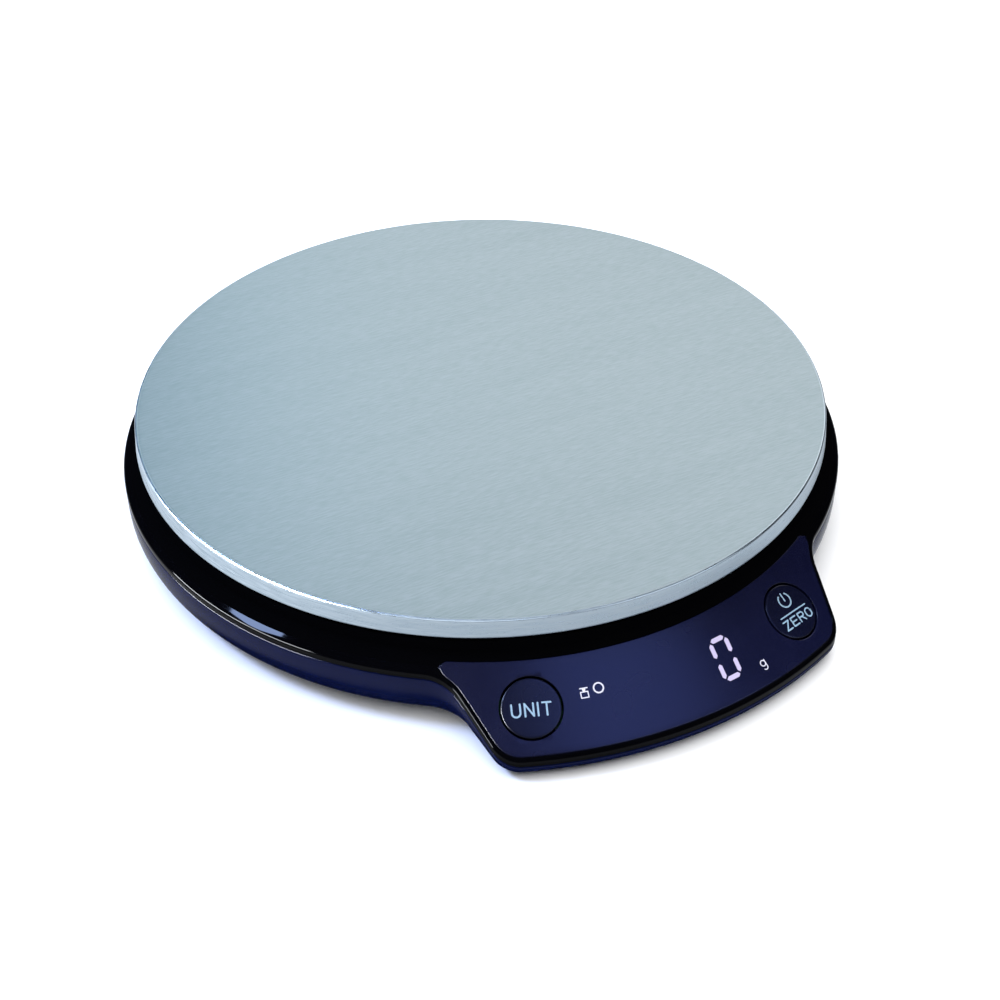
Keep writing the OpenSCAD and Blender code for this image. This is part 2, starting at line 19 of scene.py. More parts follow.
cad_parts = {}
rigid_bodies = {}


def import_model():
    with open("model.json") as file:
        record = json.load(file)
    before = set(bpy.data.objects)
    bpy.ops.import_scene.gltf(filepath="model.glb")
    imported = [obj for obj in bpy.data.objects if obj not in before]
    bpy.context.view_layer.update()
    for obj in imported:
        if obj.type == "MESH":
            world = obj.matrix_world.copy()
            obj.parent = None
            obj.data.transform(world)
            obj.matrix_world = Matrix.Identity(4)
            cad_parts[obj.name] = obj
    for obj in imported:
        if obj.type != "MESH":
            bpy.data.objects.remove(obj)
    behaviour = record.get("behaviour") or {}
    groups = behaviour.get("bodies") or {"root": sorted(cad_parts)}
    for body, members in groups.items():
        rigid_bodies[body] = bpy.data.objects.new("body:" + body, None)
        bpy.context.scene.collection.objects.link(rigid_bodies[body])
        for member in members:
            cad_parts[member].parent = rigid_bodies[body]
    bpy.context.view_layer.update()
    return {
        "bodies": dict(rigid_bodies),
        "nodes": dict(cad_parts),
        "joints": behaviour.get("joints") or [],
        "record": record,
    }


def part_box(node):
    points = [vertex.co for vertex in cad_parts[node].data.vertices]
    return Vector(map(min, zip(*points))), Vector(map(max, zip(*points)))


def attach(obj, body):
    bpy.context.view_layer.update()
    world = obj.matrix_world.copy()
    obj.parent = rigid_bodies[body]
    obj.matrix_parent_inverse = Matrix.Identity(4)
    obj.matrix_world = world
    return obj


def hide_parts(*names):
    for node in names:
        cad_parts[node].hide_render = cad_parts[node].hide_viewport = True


LOG = logging.getLogger("kitchen_scale")
MM = 0.001
Point = tuple[float, float]
Ring = list[Vector]


def linear(colour: str) -> tuple[float, float, float, float]:
    """Turns an sRGB hex colour into linear light.

    Args:
        colour: Six hex digits, with or without a leading hash.

    Returns:
        Red, green, blue and an alpha of one.
    """
    digits = colour.lstrip("#")
    parts = [int(digits[i : i + 2], 16) / 255 for i in (0, 2, 4)]
    r, g, b = [p / 12.92 if p <= 0.04045 else ((p + 0.055) / 1.055) ** 2.4 for p in parts]
    return (r, g, b, 1.0)


def add_node(
    tree: bpy.types.NodeTree, kind: str, settings: dict | None = None, links: dict | None = None
) -> bpy.types.Node:
    """Adds one node, sets it and joins its inputs.

    Args:
        tree: The material's or the world's node tree.
        kind: The node's type name.
        settings: Properties by name, or input values by socket name or number.
        links: Output sockets by the name or number of the input they feed.

    Returns:
        The new node.
    """
    node = tree.nodes.new(kind)
    for key, value in (settings or {}).items():
        if isinstance(key, str) and hasattr(node, key):
            setattr(node, key, value)
        else:
            node.inputs[key].default_value = value
    for key, socket in (links or {}).items():
        tree.links.new(socket, node.inputs[key])
    return node


@dataclass(frozen=True)
class Finish:
    """A real material and how its surface was made.

    The grain is a noise drawn at a real size, which shifts the colour between two close tones, moves the
    roughness and lifts the surface a little.
    """

    name: str
    colour: str
    second: str
    roughness: float = 0.5
    spread: float = 0.05
    metallic: float = 0.0
    ior: float = 1.5
    coat: float = 0.0
    sheen: float = 0.0
    subsurface: float = 0.0
    specular: float = 0.5
    grain_mm: float = 0.8
    stretch: tuple[float, float, float] = (1.0, 1.0, 1.0)
    depth_mm: float = 0.01
    detail: float = 4.0

    def material(self) -> bpy.types.Material:
        """Builds the material, or returns it if it was built before."""
        made = bpy.data.materials.get(self.name)
        if made:
            return made
        made = bpy.data.materials.new(self.name)
        made.use_nodes = True
        tree = made.node_tree
        tree.nodes.clear()
        shader = self.shader(tree)
        self.texture(tree, shader)
        add_node(tree, "ShaderNodeOutputMaterial", links={"Surface": shader.outputs[0]})
        return made

    def shader(self, tree: bpy.types.NodeTree) -> bpy.types.Node:
        """Adds the shader with the values that hold all over the surface."""
        settings = {"Metallic": self.metallic, "Coat Weight": self.coat, "Coat Roughness": 0.04}
        settings |= {"Sheen Weight": self.sheen, "Subsurface Weight": self.subsurface}
        if self.metallic < 0.5:
            settings |= {"IOR": self.ior, "Specular IOR Level": self.specular}
        shader = add_node(tree, "ShaderNodeBsdfPrincipled", settings)
        shader.inputs["Subsurface Radius"].default_value = (0.001, 0.001, 0.001)
        return shader

    def texture(self, tree: bpy.types.NodeTree, shader: bpy.types.Node) -> None:
        """Adds the grain and joins it to colour, roughness and relief."""
        place = add_node(tree, "ShaderNodeTexCoord")
        scale = [s / (self.grain_mm * MM) for s in self.stretch]
        grid = add_node(tree, "ShaderNodeMapping", {"Scale": scale}, {"Vector": place.outputs["Object"]})
        noise = add_node(
            tree, "ShaderNodeTexNoise", {"Scale": 1.0, "Detail": self.detail}, {"Vector": grid.outputs[0]}
        )
        self.join(tree, shader, noise.outputs["Fac"], noise.outputs["Fac"], (0.25, 0.75))

    def join(
        self,
        tree: bpy.types.NodeTree,
        shader: bpy.types.Node,
        tone: bpy.types.NodeSocket,
        grain: bpy.types.NodeSocket,
        span: tuple[float, float],
    ) -> None:
        """Joins a pattern to the shader's colour, roughness and relief.

        Args:
            tree: The material's node tree.
            shader: The shader.
            tone: What moves the colour between the two tones.
            grain: What moves the roughness and lifts the surface.
            span: The grain's values that give the least and the most roughness.
        """
        colour = add_node(
            tree,
            "ShaderNodeMix",
            {"data_type": "RGBA", 6: linear(self.colour), 7: linear(self.second)},
            {0: tone},
        )
        least, most = max(self.roughness - self.spread, 0.0), min(self.roughness + self.spread, 1.0)
        rough = add_node(
            tree,
            "ShaderNodeMapRange",
            {"From Min": span[0], "From Max": span[1], "To Min": least, "To Max": most},
            {"Value": grain},
        )
        relief = add_node(
            tree, "ShaderNodeBump", {"Strength": 1.0, "Distance": self.depth_mm * MM}, {"Height": grain}
        )
        tree.links.new(colour.outputs[2], shader.inputs["Base Color"])
        tree.links.new(rough.outputs[0], shader.inputs["Roughness"])
        tree.links.new(relief.outputs[0], shader.inputs["Normal"])


@dataclass(frozen=True)
class BrushedSteel(Finish):
    """Metal brushed along one direction: long fine scratches over a broad, faint cloudiness.

    The belt's real scratches are about 0.1 mm wide; they are drawn wider here so that they show at all.
    """

    scratch_mm: tuple[float, float, float] = (4.5, 0.5, 0.5)
    cloud_mm: tuple[float, float, float] = (60.0, 5.0, 5.0)
    cloud: float = 0.15

    def streaks(
        self, tree: bpy.types.NodeTree, place: bpy.types.Node, size: Sequence[float], detail: float
    ) -> bpy.types.Node:
        """Adds a noise drawn out by a size along each axis.

        Args:
            tree: The material's node tree.
            place: The texture coordinate node.
            size: Millimetres along X, Y and Z.
            detail: How much finer noise it holds.

        Returns:
            The noise node.
        """
        scale = [1 / (s * MM) for s in size]
        grid = add_node(tree, "ShaderNodeMapping", {"Scale": scale}, {"Vector": place.outputs["Object"]})
        settings = {"Scale": 1.0, "Detail": detail, "Roughness": 0.6}
        return add_node(tree, "ShaderNodeTexNoise", settings, {"Vector": grid.outputs[0]})

    def texture(self, tree: bpy.types.NodeTree, shader: bpy.types.Node) -> None:
        """Adds the scratches and the cloudiness."""
        place = add_node(tree, "ShaderNodeTexCoord")
        fine = self.streaks(tree, place, self.scratch_mm, 3.0)
        cloud = self.streaks(tree, place, self.cloud_mm, 2.0)
        both = add_node(
            tree,
            "ShaderNodeMix",
            {"data_type": "FLOAT", 0: self.cloud},
            {2: fine.outputs["Fac"], 3: cloud.outputs["Fac"]},
        )
        spread = add_node(
            tree, "ShaderNodeMapRange", {"From Min": 0.38, "From Max": 0.62}, {"Value": both.outputs[0]}
        )
        self.join(tree, shader, spread.outputs[0], fine.outputs["Fac"], (0.3, 0.7))


@dataclass(frozen=True)
class LitFilm(Finish):
    """A diffusing film with a light behind it."""

    glow: str = "#ffffff"

    def texture(self, tree: bpy.types.NodeTree, shader: bpy.types.Node) -> None:
        """Adds the grain, and the glow on the shader's own sockets."""
        super().texture(tree, shader)
        shader.inputs["Emission Color"].default_value = linear(self.glow)
        shader.inputs["Emission Strength"].default_value = 1.0


class Finishes(Enum):
    """Every finish on the scale, by the piece it was made for."""

    # Stainless steel sheet, brushed along the tab's width: cool grey with fine straight scratches
    PAN = BrushedSteel("stainless_steel_brushed", "#9fb1b7", "#b1c0c7", roughness=0.38, spread=0.05, metallic=1.0,
                       depth_mm=0.006)
    # The same sheet where it is drawn down over the die: the scratches run round it and it is smoother; its paler,
    # bluer tint than the pan's top is painted reflection
    SKIRT = BrushedSteel("stainless_steel_drawn_edge", "#c8dbe9", "#d8e8f3", roughness=0.3, spread=0.05,
                         metallic=1.0, depth_mm=0.002, scratch_mm=(7.0, 7.0, 0.45), cloud_mm=(30.0, 30.0, 4.0))
    # ABS moulded against a polished tool: deep black, mirror gloss, a very faint waviness
    BLACK_ABS = Finish("abs_black_high_gloss_moulded", "#020203", "#040406", roughness=0.05, spread=0.015,
                       specular=0.1, grain_mm=14.0, depth_mm=0.006, detail=1.0)
    # The same moulding on the deck and its neck under the pan, matt and with no reflection at all: painted shade,
    # dead black where the pan shades it
    DECK_ABS = Finish("abs_black_spark_textured", "#020203", "#040405", roughness=0.6, spread=0.05, specular=0.0,
                      grain_mm=0.4, depth_mm=0.01)
    # ABS with a navy master batch, gloss moulded
    NAVY_ABS = Finish("abs_navy_gloss_moulded", "#080e2c", "#0c1334", roughness=0.12, spread=0.02,
                      specular=0.14, grain_mm=12.0, depth_mm=0.006, detail=1.0)
    # Clear acrylic back-printed in smoky navy: colour deep under a hard flat gloss
    PANEL = Finish("acrylic_navy_back_printed", "#090b20", "#0b0d25", roughness=0.26, spread=0.02, ior=1.49,
                   grain_mm=9.0, depth_mm=0.0015, detail=1.0)
    # The buttons are the same acrylic, printed one tone darker
    BUTTON = Finish("acrylic_navy_button_cap", "#070919", "#090b1d", roughness=0.26, spread=0.02, ior=1.49,
                    grain_mm=9.0, depth_mm=0.0015, detail=1.0)
    # Screen-printed ink, pale blue, a little uneven
    INK = Finish("screen_printed_ink_pale_blue", "#7c98a6", "#85a1af", roughness=0.5, grain_mm=0.2)
    # Light-emitting segments under a lilac diffuser
    SEGMENT = LitFilm("led_segment_lilac_diffuser", "#7a7487", "#827b90", roughness=0.5, grain_mm=0.4, glow="#a8a0be")
    # The small symbols, whiter than the digit
    SYMBOL = LitFilm("led_symbol_white_diffuser", "#80808a", "#868690", roughness=0.5, grain_mm=0.4, glow="#c4c4d0")
    # Polypropylene moulded against a spark-textured tool
    CARRIER = Finish("polypropylene_spark_textured", "#cfd0cd", "#c6c7c4", roughness=0.62, grain_mm=0.35,
                     depth_mm=0.02, subsurface=0.05)
    # Styrene rubber moulded, dull and slightly dusty
    RUBBER = Finish("rubber_moulded_dark_grey", "#17181a", "#222325", roughness=0.82, grain_mm=0.5, depth_mm=0.015,
                    sheen=0.2)
    # Glass-epoxy laminate under green solder mask, with the weave faintly telegraphed
    BOARD = Finish("glass_epoxy_solder_mask", "#0c4a26", "#11582f", roughness=0.32, grain_mm=0.6, depth_mm=0.01,
                   coat=0.4)
    # Filled epoxy moulded round a chip: grey-black, matt, fine grit
    RESIN = Finish("epoxy_resin_moulded", "#15161a", "#1d1e22", roughness=0.58, grain_mm=0.15, depth_mm=0.008)
    # Shrunk PVC sleeve on a capacitor
    SLEEVE = Finish("pvc_shrunk_sleeve_blue", "#182a5c", "#1d3068", roughness=0.3, grain_mm=1.5, depth_mm=0.02)
    # Cast epoxy over a white reflector
    DISPLAY = Finish("epoxy_cast_display_body", "#22242b", "#2b2d36", roughness=0.25, grain_mm=1.2, depth_mm=0.01)
    # Nylon switch body
    SWITCH = Finish("nylon_moulded_black", "#17171a", "#202024", roughness=0.5, grain_mm=0.3, depth_mm=0.01)
    # Acetal plunger
    PLUNGER = Finish("acetal_moulded_red", "#8c1f1c", "#97302a", roughness=0.4, grain_mm=0.4, depth_mm=0.01)
    # Aluminium bar with milled faces: fine parallel tool marks
    CELL = BrushedSteel("aluminium_milled_bar", "#c6c9cc", "#d5d7d9", roughness=0.34, spread=0.06, metallic=1.0,
                        depth_mm=0.008, scratch_mm=(0.4, 7.0, 0.4))
    # Etched constantan foil on a polyimide film
    FOIL = Finish("constantan_foil_etched", "#a8813d", "#8f6a2c", roughness=0.35, metallic=0.7, grain_mm=0.25,
                  stretch=(1.0, 0.2, 1.0), depth_mm=0.01)
    # Silicone brushed over the gauges, milky and lumpy
    SILICONE = Finish("silicone_brushed_on", "#e6e6df", "#d9d9d0", roughness=0.42, grain_mm=3.0, depth_mm=0.35,
                      subsurface=0.2)
    # Zinc-plated steel plate, stamped
    PLATE = Finish("zinc_plated_steel_stamped", "#a9adb1", "#bfc3c6", roughness=0.33, metallic=1.0, grain_mm=1.2,
                   depth_mm=0.01)
    # Zinc-plated screws
    SCREW = Finish("zinc_plated_screw", "#b9bcc0", "#a4a8ad", roughness=0.28, metallic=1.0, grain_mm=0.4,
                   depth_mm=0.01)
    # Steel screws, black phosphate
    BLACK_SCREW = Finish("steel_black_phosphate", "#2a2a2d", "#35353a", roughness=0.45, metallic=0.9, grain_mm=0.3,
                         depth_mm=0.012)
    # Battery jackets: gloss film over a steel can
    JACKET = Finish("battery_jacket_film_gloss", "#1c3f86", "#214893", roughness=0.2, coat=0.5, grain_mm=6.0,
                    depth_mm=0.01)
    # Nickel-plated spring steel
    NICKEL = Finish("nickel_plated_spring_steel", "#c9c7bf", "#b9b6ac", roughness=0.22, metallic=1.0, grain_mm=0.7,
                    depth_mm=0.008)
    # Extruded PVC on the battery wires
    WIRE = Finish("pvc_extruded_red", "#8a1a18", "#981f1c", roughness=0.42, grain_mm=0.6, depth_mm=0.01)
    # Extruded PVC on the cell's cable and the display's ribbon
    CABLE = Finish("pvc_extruded_pale_grey", "#d2d2cf", "#c5c5c2", roughness=0.45, grain_mm=0.6, depth_mm=0.01)
    # Double-sided foam tape
    TAPE = Finish("foam_tape_open_cell", "#e9e8e2", "#dcdbd4", roughness=0.9, grain_mm=0.25, depth_mm=0.06,
                  sheen=0.3)
    # Closed-cell foam pad in the battery door
    FOAM = Finish("foam_closed_cell_black", "#1b1b1e", "#27272b", roughness=0.92, grain_mm=0.4, depth_mm=0.08,
                  sheen=0.3)

    def dress(self, piece: bpy.types.Object) -> bpy.types.Object:
        """Gives the piece this finish on every material slot and returns it."""
        made = self.value.material()
        if not piece.material_slots:
            piece.data.materials.append(made)
        for held in piece.material_slots:
            held.material = made
        return piece


def mesh_piece(
    name: str, points: Sequence[Vector], faces: Sequence[Sequence[int]], place: Vector
) -> bpy.types.Object:
    """Makes an object from points and faces, drawn about its own origin.

    Args:
        name: The piece's name.
        points: Its vertices.
        faces: Its faces, as lists of vertex numbers.
        place: Where its origin stands.

    Returns:
        The linked object, with its faces turned outwards.
    """
    mesh = bpy.data.meshes.new(name)
    mesh.from_pydata([tuple(p) for p in points], [], [tuple(f) for f in faces])
    shape = bmesh.new()
    shape.from_mesh(mesh)
    bmesh.ops.remove_doubles(shape, verts=shape.verts, dist=1e-7)
    bmesh.ops.dissolve_degenerate(shape, edges=shape.edges, dist=1e-8)
    bmesh.ops.recalc_face_normals(shape, faces=shape.faces)
    shape.to_mesh(mesh)
    shape.free()
    piece = bpy.data.objects.new(name, mesh)
    piece.location = place
    bpy.context.scene.collection.objects.link(piece)
    return piece


def smooth(piece: bpy.types.Object, degrees: float = 34.0) -> bpy.types.Object:
    """Shades a piece smooth, with a crisp line at every edge sharper than the angle."""
    piece.data.shade_smooth()
    piece.data.set_sharp_from_angle(angle=math.radians(degrees))
    return piece


def skin(rings: Sequence[Ring], capped: bool = True) -> tuple[list[Vector], list[list[int]]]:
    """Joins closed rings of equal length into a skin, with a fan at each end.

    Args:
        rings: The rings, in order along the skin.
        capped: Whether the first and last rings are closed by a point at their middle.

    Returns:
        The points and the faces.
    """
    count = len(rings[0])
    points = [p for ring in rings for p in ring]
    faces = [
        [k * count + i, k * count + (i + 1) % count, (k + 1) * count + (i + 1) % count, (k + 1) * count + i]
        for k in range(len(rings) - 1)
        for i in range(count)
    ]
    if capped:
        for k, ring in ((0, rings[0]), (len(rings) - 1, rings[-1])):
            points.append(sum(ring, Vector()) / count)
            hub = len(points) - 1
            faces += [[k * count + i, k * count + (i + 1) % count, hub] for i in range(count)]
    return points, faces


def lathe(profile: Sequence[Point], steps: int) -> tuple[list[Vector], list[list[int]]]:
    """Turns a profile of (radius, height) about Z; a radius of zero at either end closes it.

    Args:
        profile: The points of the profile.
        steps: How many stations the turn has.

    Returns:
        The points and the faces.
    """
    turn = [2 * math.pi * i / steps for i in range(steps)]
    inner = [p for p in profile if p[0] > 1e-9]
    rings = [[Vector((r * math.cos(a), r * math.sin(a), z)) for a in turn] for r, z in inner]
    points, faces = skin(rings, False)
    for end, k in ((profile[0], 0), (profile[-1], len(inner) - 1)):
        if end[0] <= 1e-9:
            points.append(Vector((0.0, 0.0, end[1])))
            faces += [[k * steps + i, k * steps + (i + 1) % steps, len(points) - 1] for i in range(steps)]
    return points, faces


def arc(centre: Point, radius: float, start: float, end: float, steps: int) -> list[Point]:
    """Points on an arc, both ends included, with angles in degrees."""
    turn = [math.radians(start + (end - start) * i / steps) for i in range(steps + 1)]
    return [(centre[0] + radius * math.cos(a), centre[1] + radius * math.sin(a)) for a in turn]


def round_over(radius: float, steps: int) -> list[Point]:
    """How far a rounded edge draws in, and how far it drops, at each step of its quarter turn."""
    turn = [math.pi / 2 * k / steps for k in range(steps + 1)]
    return [(radius * (1 - math.sin(a)), radius * (1 - math.cos(a))) for a in turn]


def cut(piece: bpy.types.Object, tool: bpy.types.Object, operation: str = "DIFFERENCE") -> None:
    """Cuts a piece with a tool, or joins the two, and removes the tool.

    Args:
        piece: The piece, which keeps its materials.
        tool: A closed mesh.
        operation: DIFFERENCE, UNION or INTERSECT.
    """
    held = piece.modifiers.new("cut", "BOOLEAN")
    held.operation, held.solver, held.object = operation, "MANIFOLD", tool
    bpy.context.view_layer.update()
    graph = bpy.context.evaluated_depsgraph_get()
    made = bpy.data.meshes.new_from_object(piece.evaluated_get(graph))
    piece.modifiers.clear()
    old, piece.data = piece.data, made
    bpy.data.meshes.remove(old)
    bpy.data.objects.remove(tool)


def block_tool(low: Sequence[float], high: Sequence[float]) -> bpy.types.Object:
    """A closed box between two corners, for cutting."""
    x, y, z = zip(low, high)
    points = [Vector((x[i], y[j], z[k])) for k in (0, 1) for j in (0, 1) for i in (0, 1)]
    faces = [[0, 2, 3, 1], [4, 5, 7, 6], [0, 1, 5, 4], [2, 6, 7, 3], [0, 4, 6, 2], [1, 3, 7, 5]]
    return mesh_piece("tool", points, faces, Vector())


def turned_tool(profile: Sequence[Point], steps: int, place: Matrix) -> bpy.types.Object:
    """A closed turned shape stood in a place, for cutting."""
    points, faces = lathe(profile, steps)
    return mesh_piece("tool", [place @ p for p in points], faces, Vector())


def joined(pieces: Sequence[bpy.types.Object], name: str) -> bpy.types.Object:
    """Joins pieces into one mesh with one name, and returns it."""
    shape = bmesh.new()
    for piece in pieces:
        piece.data.transform(piece.matrix_world)
        shape.from_mesh(piece.data)
    mesh = bpy.data.meshes.new(name)
    shape.to_mesh(mesh)
    shape.free()
    for piece in pieces:
        bpy.data.objects.remove(piece)
    made = bpy.data.objects.new(name, mesh)
    bpy.context.scene.collection.objects.link(made)
    return made


@dataclass(frozen=True)
class CaseOutline:
    """The case seen from above, about the pan's axis: a round rim that reaches forward in a tab."""

    rim_r: float = 105 * MM
    tab_r: float = 123.5 * MM
    tab_w: float = 97 * MM
    taper: float = math.radians(10.7)
    corner_r: float = 9 * MM
    neck_r: float = 14 * MM
    steps: tuple[int, int, int, int, int] = (280, 26, 8, 20, 26)

    def half(self) -> list[tuple[Vector, Vector]]:
        """Points and inward normals of the tab's +X side, from the rim to the centre line."""
        out = Vector((math.cos(self.taper), -math.sin(self.taper)))
        run = Vector((-math.sin(self.taper), -math.cos(self.taper)))
        side = self.tab_w / 2 * math.cos(self.taper) + self.tab_r * math.sin(self.taper)
        corner_run = math.sqrt((self.tab_r - self.corner_r) ** 2 - (side - self.corner_r) ** 2)
        corner = (side - self.corner_r) * out + corner_run * run
        neck_run = math.sqrt((self.rim_r + self.neck_r) ** 2 - (side + self.neck_r) ** 2)
        neck = (side + self.neck_r) * out + neck_run * run
        at_neck, at_corner = math.atan2(neck.y, neck.x), math.atan2(corner.y, corner.x)
        _, n_neck, n_side, n_corner, n_end = self.steps
        found: list[tuple[Vector, Vector]] = []
        for i in range(n_neck + 1):
            a = math.pi + at_neck + (-self.taper - at_neck) * i / n_neck
            ray = Vector((math.cos(a), math.sin(a)))
            found.append((neck + self.neck_r * ray, ray))
        first, last = found[-1][0], corner + self.corner_r * out
        found += [(first.lerp(last, i / n_side), -out) for i in range(1, n_side)]
        for i in range(n_corner + 1):
            a = -self.taper + (at_corner + self.taper) * i / n_corner
            ray = Vector((math.cos(a), math.sin(a)))
            found.append((corner + self.corner_r * ray, -ray))
        for i in range(1, n_end + 1):
            a = at_corner + (-math.pi / 2 - at_corner) * i / n_end
            ray = Vector((math.cos(a), math.sin(a)))
            found.append((self.tab_r * ray, -ray))
        return found

    def loop(self) -> list[tuple[Vector, Vector]]:
        """Points and inward normals all the way round, anticlockwise from the tab's +X neck."""
        half = self.half()
        start = math.atan2(half[0][0].y, half[0][0].x)
        count = self.steps[0]
        back = []
        for i in range(1, count):
            a = start + (math.pi - 2 * start) * i / count
            ray = Vector((math.cos(a), math.sin(a)))
            back.append((self.rim_r * ray, -ray))
        other = [(Vector((-p.x, p.y)), Vector((-n.x, n.y))) for p, n in half[:-1]]
        return back + other + half[::-1]

    def reach(self, bearing: float, inset: float) -> float:
        """Distance from the pan's axis to the outline moved in by inset, on a bearing from -Y."""
        moved = [p + inset * n for p, n in self.half()]
        spots = sorted((math.atan2(p.x, -p.y), p.length) for p in moved)
        wanted = abs(bearing)
        for (a0, r0), (a1, r1) in zip(spots, spots[1:]):
            if wanted <= a1:
                return r0 + (r1 - r0) * max(wanted - a0, 0.0) / max(a1 - a0, 1e-12)
        return spots[-1][1]


@dataclass(frozen=True)
class Slope:
    """The cone that the rim's top and the control tab share."""

    rim_r: float = 105 * MM
    rim_z: float = 18.85 * MM
    lean: float = math.radians(32.6)

    def height(self, radius: float) -> float:
        """Height of the slope at a distance from the pan's axis."""
        return self.rim_z - math.tan(self.lean) * (radius - self.rim_r)

    def stand(self, bearing: float, radius: float) -> Matrix:
        """A frame on the slope: +Z square to it, +Y up the slope, +X to the user's right."""
        seat = Matrix.Translation((0.0, -radius, self.height(radius)))
        return Matrix.Rotation(bearing, 4, "Z") @ seat @ Matrix.Rotation(self.lean, 4, "X")

    def on(self, frame: Matrix, x: float, y: float, lift: float) -> Vector:
        """The point of the slope under (x, y) of a frame, raised square to it by lift."""
        p = frame @ Vector((x, y, 0.0))
        radius = math.hypot(p.x, p.y)
        tilt = math.sin(self.lean) / radius
        square = Vector((tilt * p.x, tilt * p.y, math.cos(self.lean)))
        return Vector((p.x, p.y, self.height(radius))) + lift * square


@dataclass
class Stroke:
    """A pen line of even width with round ends, drawn in millimetres."""

    points: list[Point]
    width: float

    def pairs(self) -> list[tuple[Point, Point]]:
        """The left and right edge of the line at each of its stations, its round ends included."""
        count = len(self.points)
        half = self.width / 2
        found: list[tuple[Point, Point]] = []
        for i, (x, y) in enumerate(self.points):
            here = Vector((x, y))
            before = here - Vector(self.points[i - 1]) if i else Vector(self.points[1]) - here
            after = Vector(self.points[i + 1]) - here if i < count - 1 else before
            mean = (before.normalized() + after.normalized()).normalized()
            side = Vector((-mean.y, mean.x)) * half / max(mean.dot(before.normalized()), 0.35)
            turns = [math.radians(15 * k) for k in range(0, 6)]
            if i == 0:
                for t in reversed(turns[1:]):
                    back = here - mean * half * math.sin(t)
                    found.append((tuple(back + side * math.cos(t)), tuple(back - side * math.cos(t))))
            found.append((tuple(here + side), tuple(here - side)))
            if i == count - 1:
                for t in turns[1:]:
                    ahead = here + mean * half * math.sin(t)
                    found.append((tuple(ahead + side * math.cos(t)), tuple(ahead - side * math.cos(t))))
        return found


@dataclass(frozen=True)
class Lettering:
    """Plain upright lettering made of pen lines: a cap height, a width for each letter and a gap."""

    height: float
    width: float
    gap: float
    pen: float

    def letter(self, name: str) -> tuple[list[list[Point]], float]:
        """The lines of one letter in a unit-high box, and its width.

        Args:
            name: The letter.

        Returns:
            Its lines and its width, both as shares of the height.
        """
        w = self.width / self.height
        half = w / 2
        bowl = 0.25
        shapes: dict[str, tuple[list[list[Point]], float]] = {
            "U": ([[(0, 1), *arc((half, half), half, 180, 360, 12), (w, 1)]], w),
            "N": ([[(0, 0), (0, 1)], [(0, 1), (w, 0)], [(w, 0), (w, 1)]], w),
            "I": ([[(0, 0), (0, 1)]], 0.0),
            "T": ([[(0, 1), (w, 1)], [(half, 1), (half, 0)]], w),
            "Z": ([[(0, 1), (w, 1)], [(w, 1), (0, 0)], [(0, 0), (w, 0)]], w),
            "E": ([[(w, 1), (0, 1)], [(0, 1), (0, 0)], [(0, 0), (w, 0)], [(0, 0.5), (w * 0.9, 0.5)]], w),
            "R": ([[(0, 0), (0, 1)], [(0, 1), *arc((w - bowl, 1 - bowl), bowl, 90, -90, 10), (0, 0.5)],
                   [(w * 0.5, 0.5), (w, 0)]], w),
            "O": ([[*arc((half, 1 - half), half, 0, 180, 12), *arc((half, half), half, 180, 360, 12),
                    (w, 1 - half), *arc((half, 1 - half), half, 0, 30, 3)]], w),
        }
        return shapes[name]

    def write(self, word: str, middle: Point) -> list[Stroke]:
        """The strokes of a word centred on a point."""
        parts = [self.letter(c) for c in word]
        total = sum(w * self.height for _, w in parts) + self.gap * (len(parts) - 1)
        x, y = middle[0] - total / 2, middle[1] - self.height / 2
        strokes = []
        for lines, w in parts:
            for line in lines:
                placed = [(x + px * self.height, y + py * self.height) for px, py in line]
                strokes.append(Stroke(placed, self.pen))
            x += w * self.height + self.gap
        return strokes


@dataclass
class Print:
    """Flat printed or lit shapes laid on the slope."""

    slope: Slope
    frame: Matrix
    lift: float = 0.03 * MM
    body: float = 0.02 * MM
    step: float = 0.5
    points: list[Vector] = field(default_factory=list)
    faces: list[list[int]] = field(default_factory=list)

    def add(self, pairs: Sequence[tuple[Point, Point]]) -> None:
        """Adds one strip as a thin plate, a hair above the one before it.

        Args:
            pairs: Left and right edge points in millimetres; long stretches are divided so that the strip
                lies on the slope's curve.
        """
        fine = [pairs[0]]
        for (l0, r0), (l1, r1) in zip(pairs, pairs[1:]):
            steps = max(1, math.ceil(max(math.dist(l0, l1), math.dist(r0, r1)) / self.step))
            for k in range(1, steps + 1):
                t = k / steps
                fine.append(((l0[0] + (l1[0] - l0[0]) * t, l0[1] + (l1[1] - l0[1]) * t),
                             (r0[0] + (r1[0] - r0[0]) * t, r0[1] + (r1[1] - r0[1]) * t)))
        start = len(self.points)
        for left, right in fine:
            for x, y in (left, right):
                self.points.append(self.slope.on(self.frame, x * MM, y * MM, self.lift))
            for x, y in (right, left):
                self.points.append(self.slope.on(self.frame, x * MM, y * MM, self.lift - self.body))
        for k in range(len(fine) - 1):
            a, b = start + 4 * k, start + 4 * (k + 1)
            self.faces += [[a + i, a + (i + 1) % 4, b + (i + 1) % 4, b + i] for i in range(4)]
        last = start + 4 * (len(fine) - 1)
        self.faces += [[start + i for i in (3, 2, 1, 0)], [last + i for i in range(4)]]
        self.lift += 0.0015 * MM

    def strokes(self, strokes: Sequence[Stroke]) -> "Print":
        """Adds pen lines and returns the print."""
        for stroke in strokes:
            self.add(stroke.pairs())
        return self

    def ring(
        self, middle: Point, radius: float, pen: float, start: float = 0.0, end: float = 360.0
    ) -> "Print":
        """Adds a ring or part of one and returns the print."""
        self.add(Stroke(arc(middle, radius, start, end, 48), pen).pairs())
        return self

    def piece(self, name: str, place: Vector) -> bpy.types.Object:
        """Makes the object."""
        return mesh_piece(name, self.points, self.faces, place)


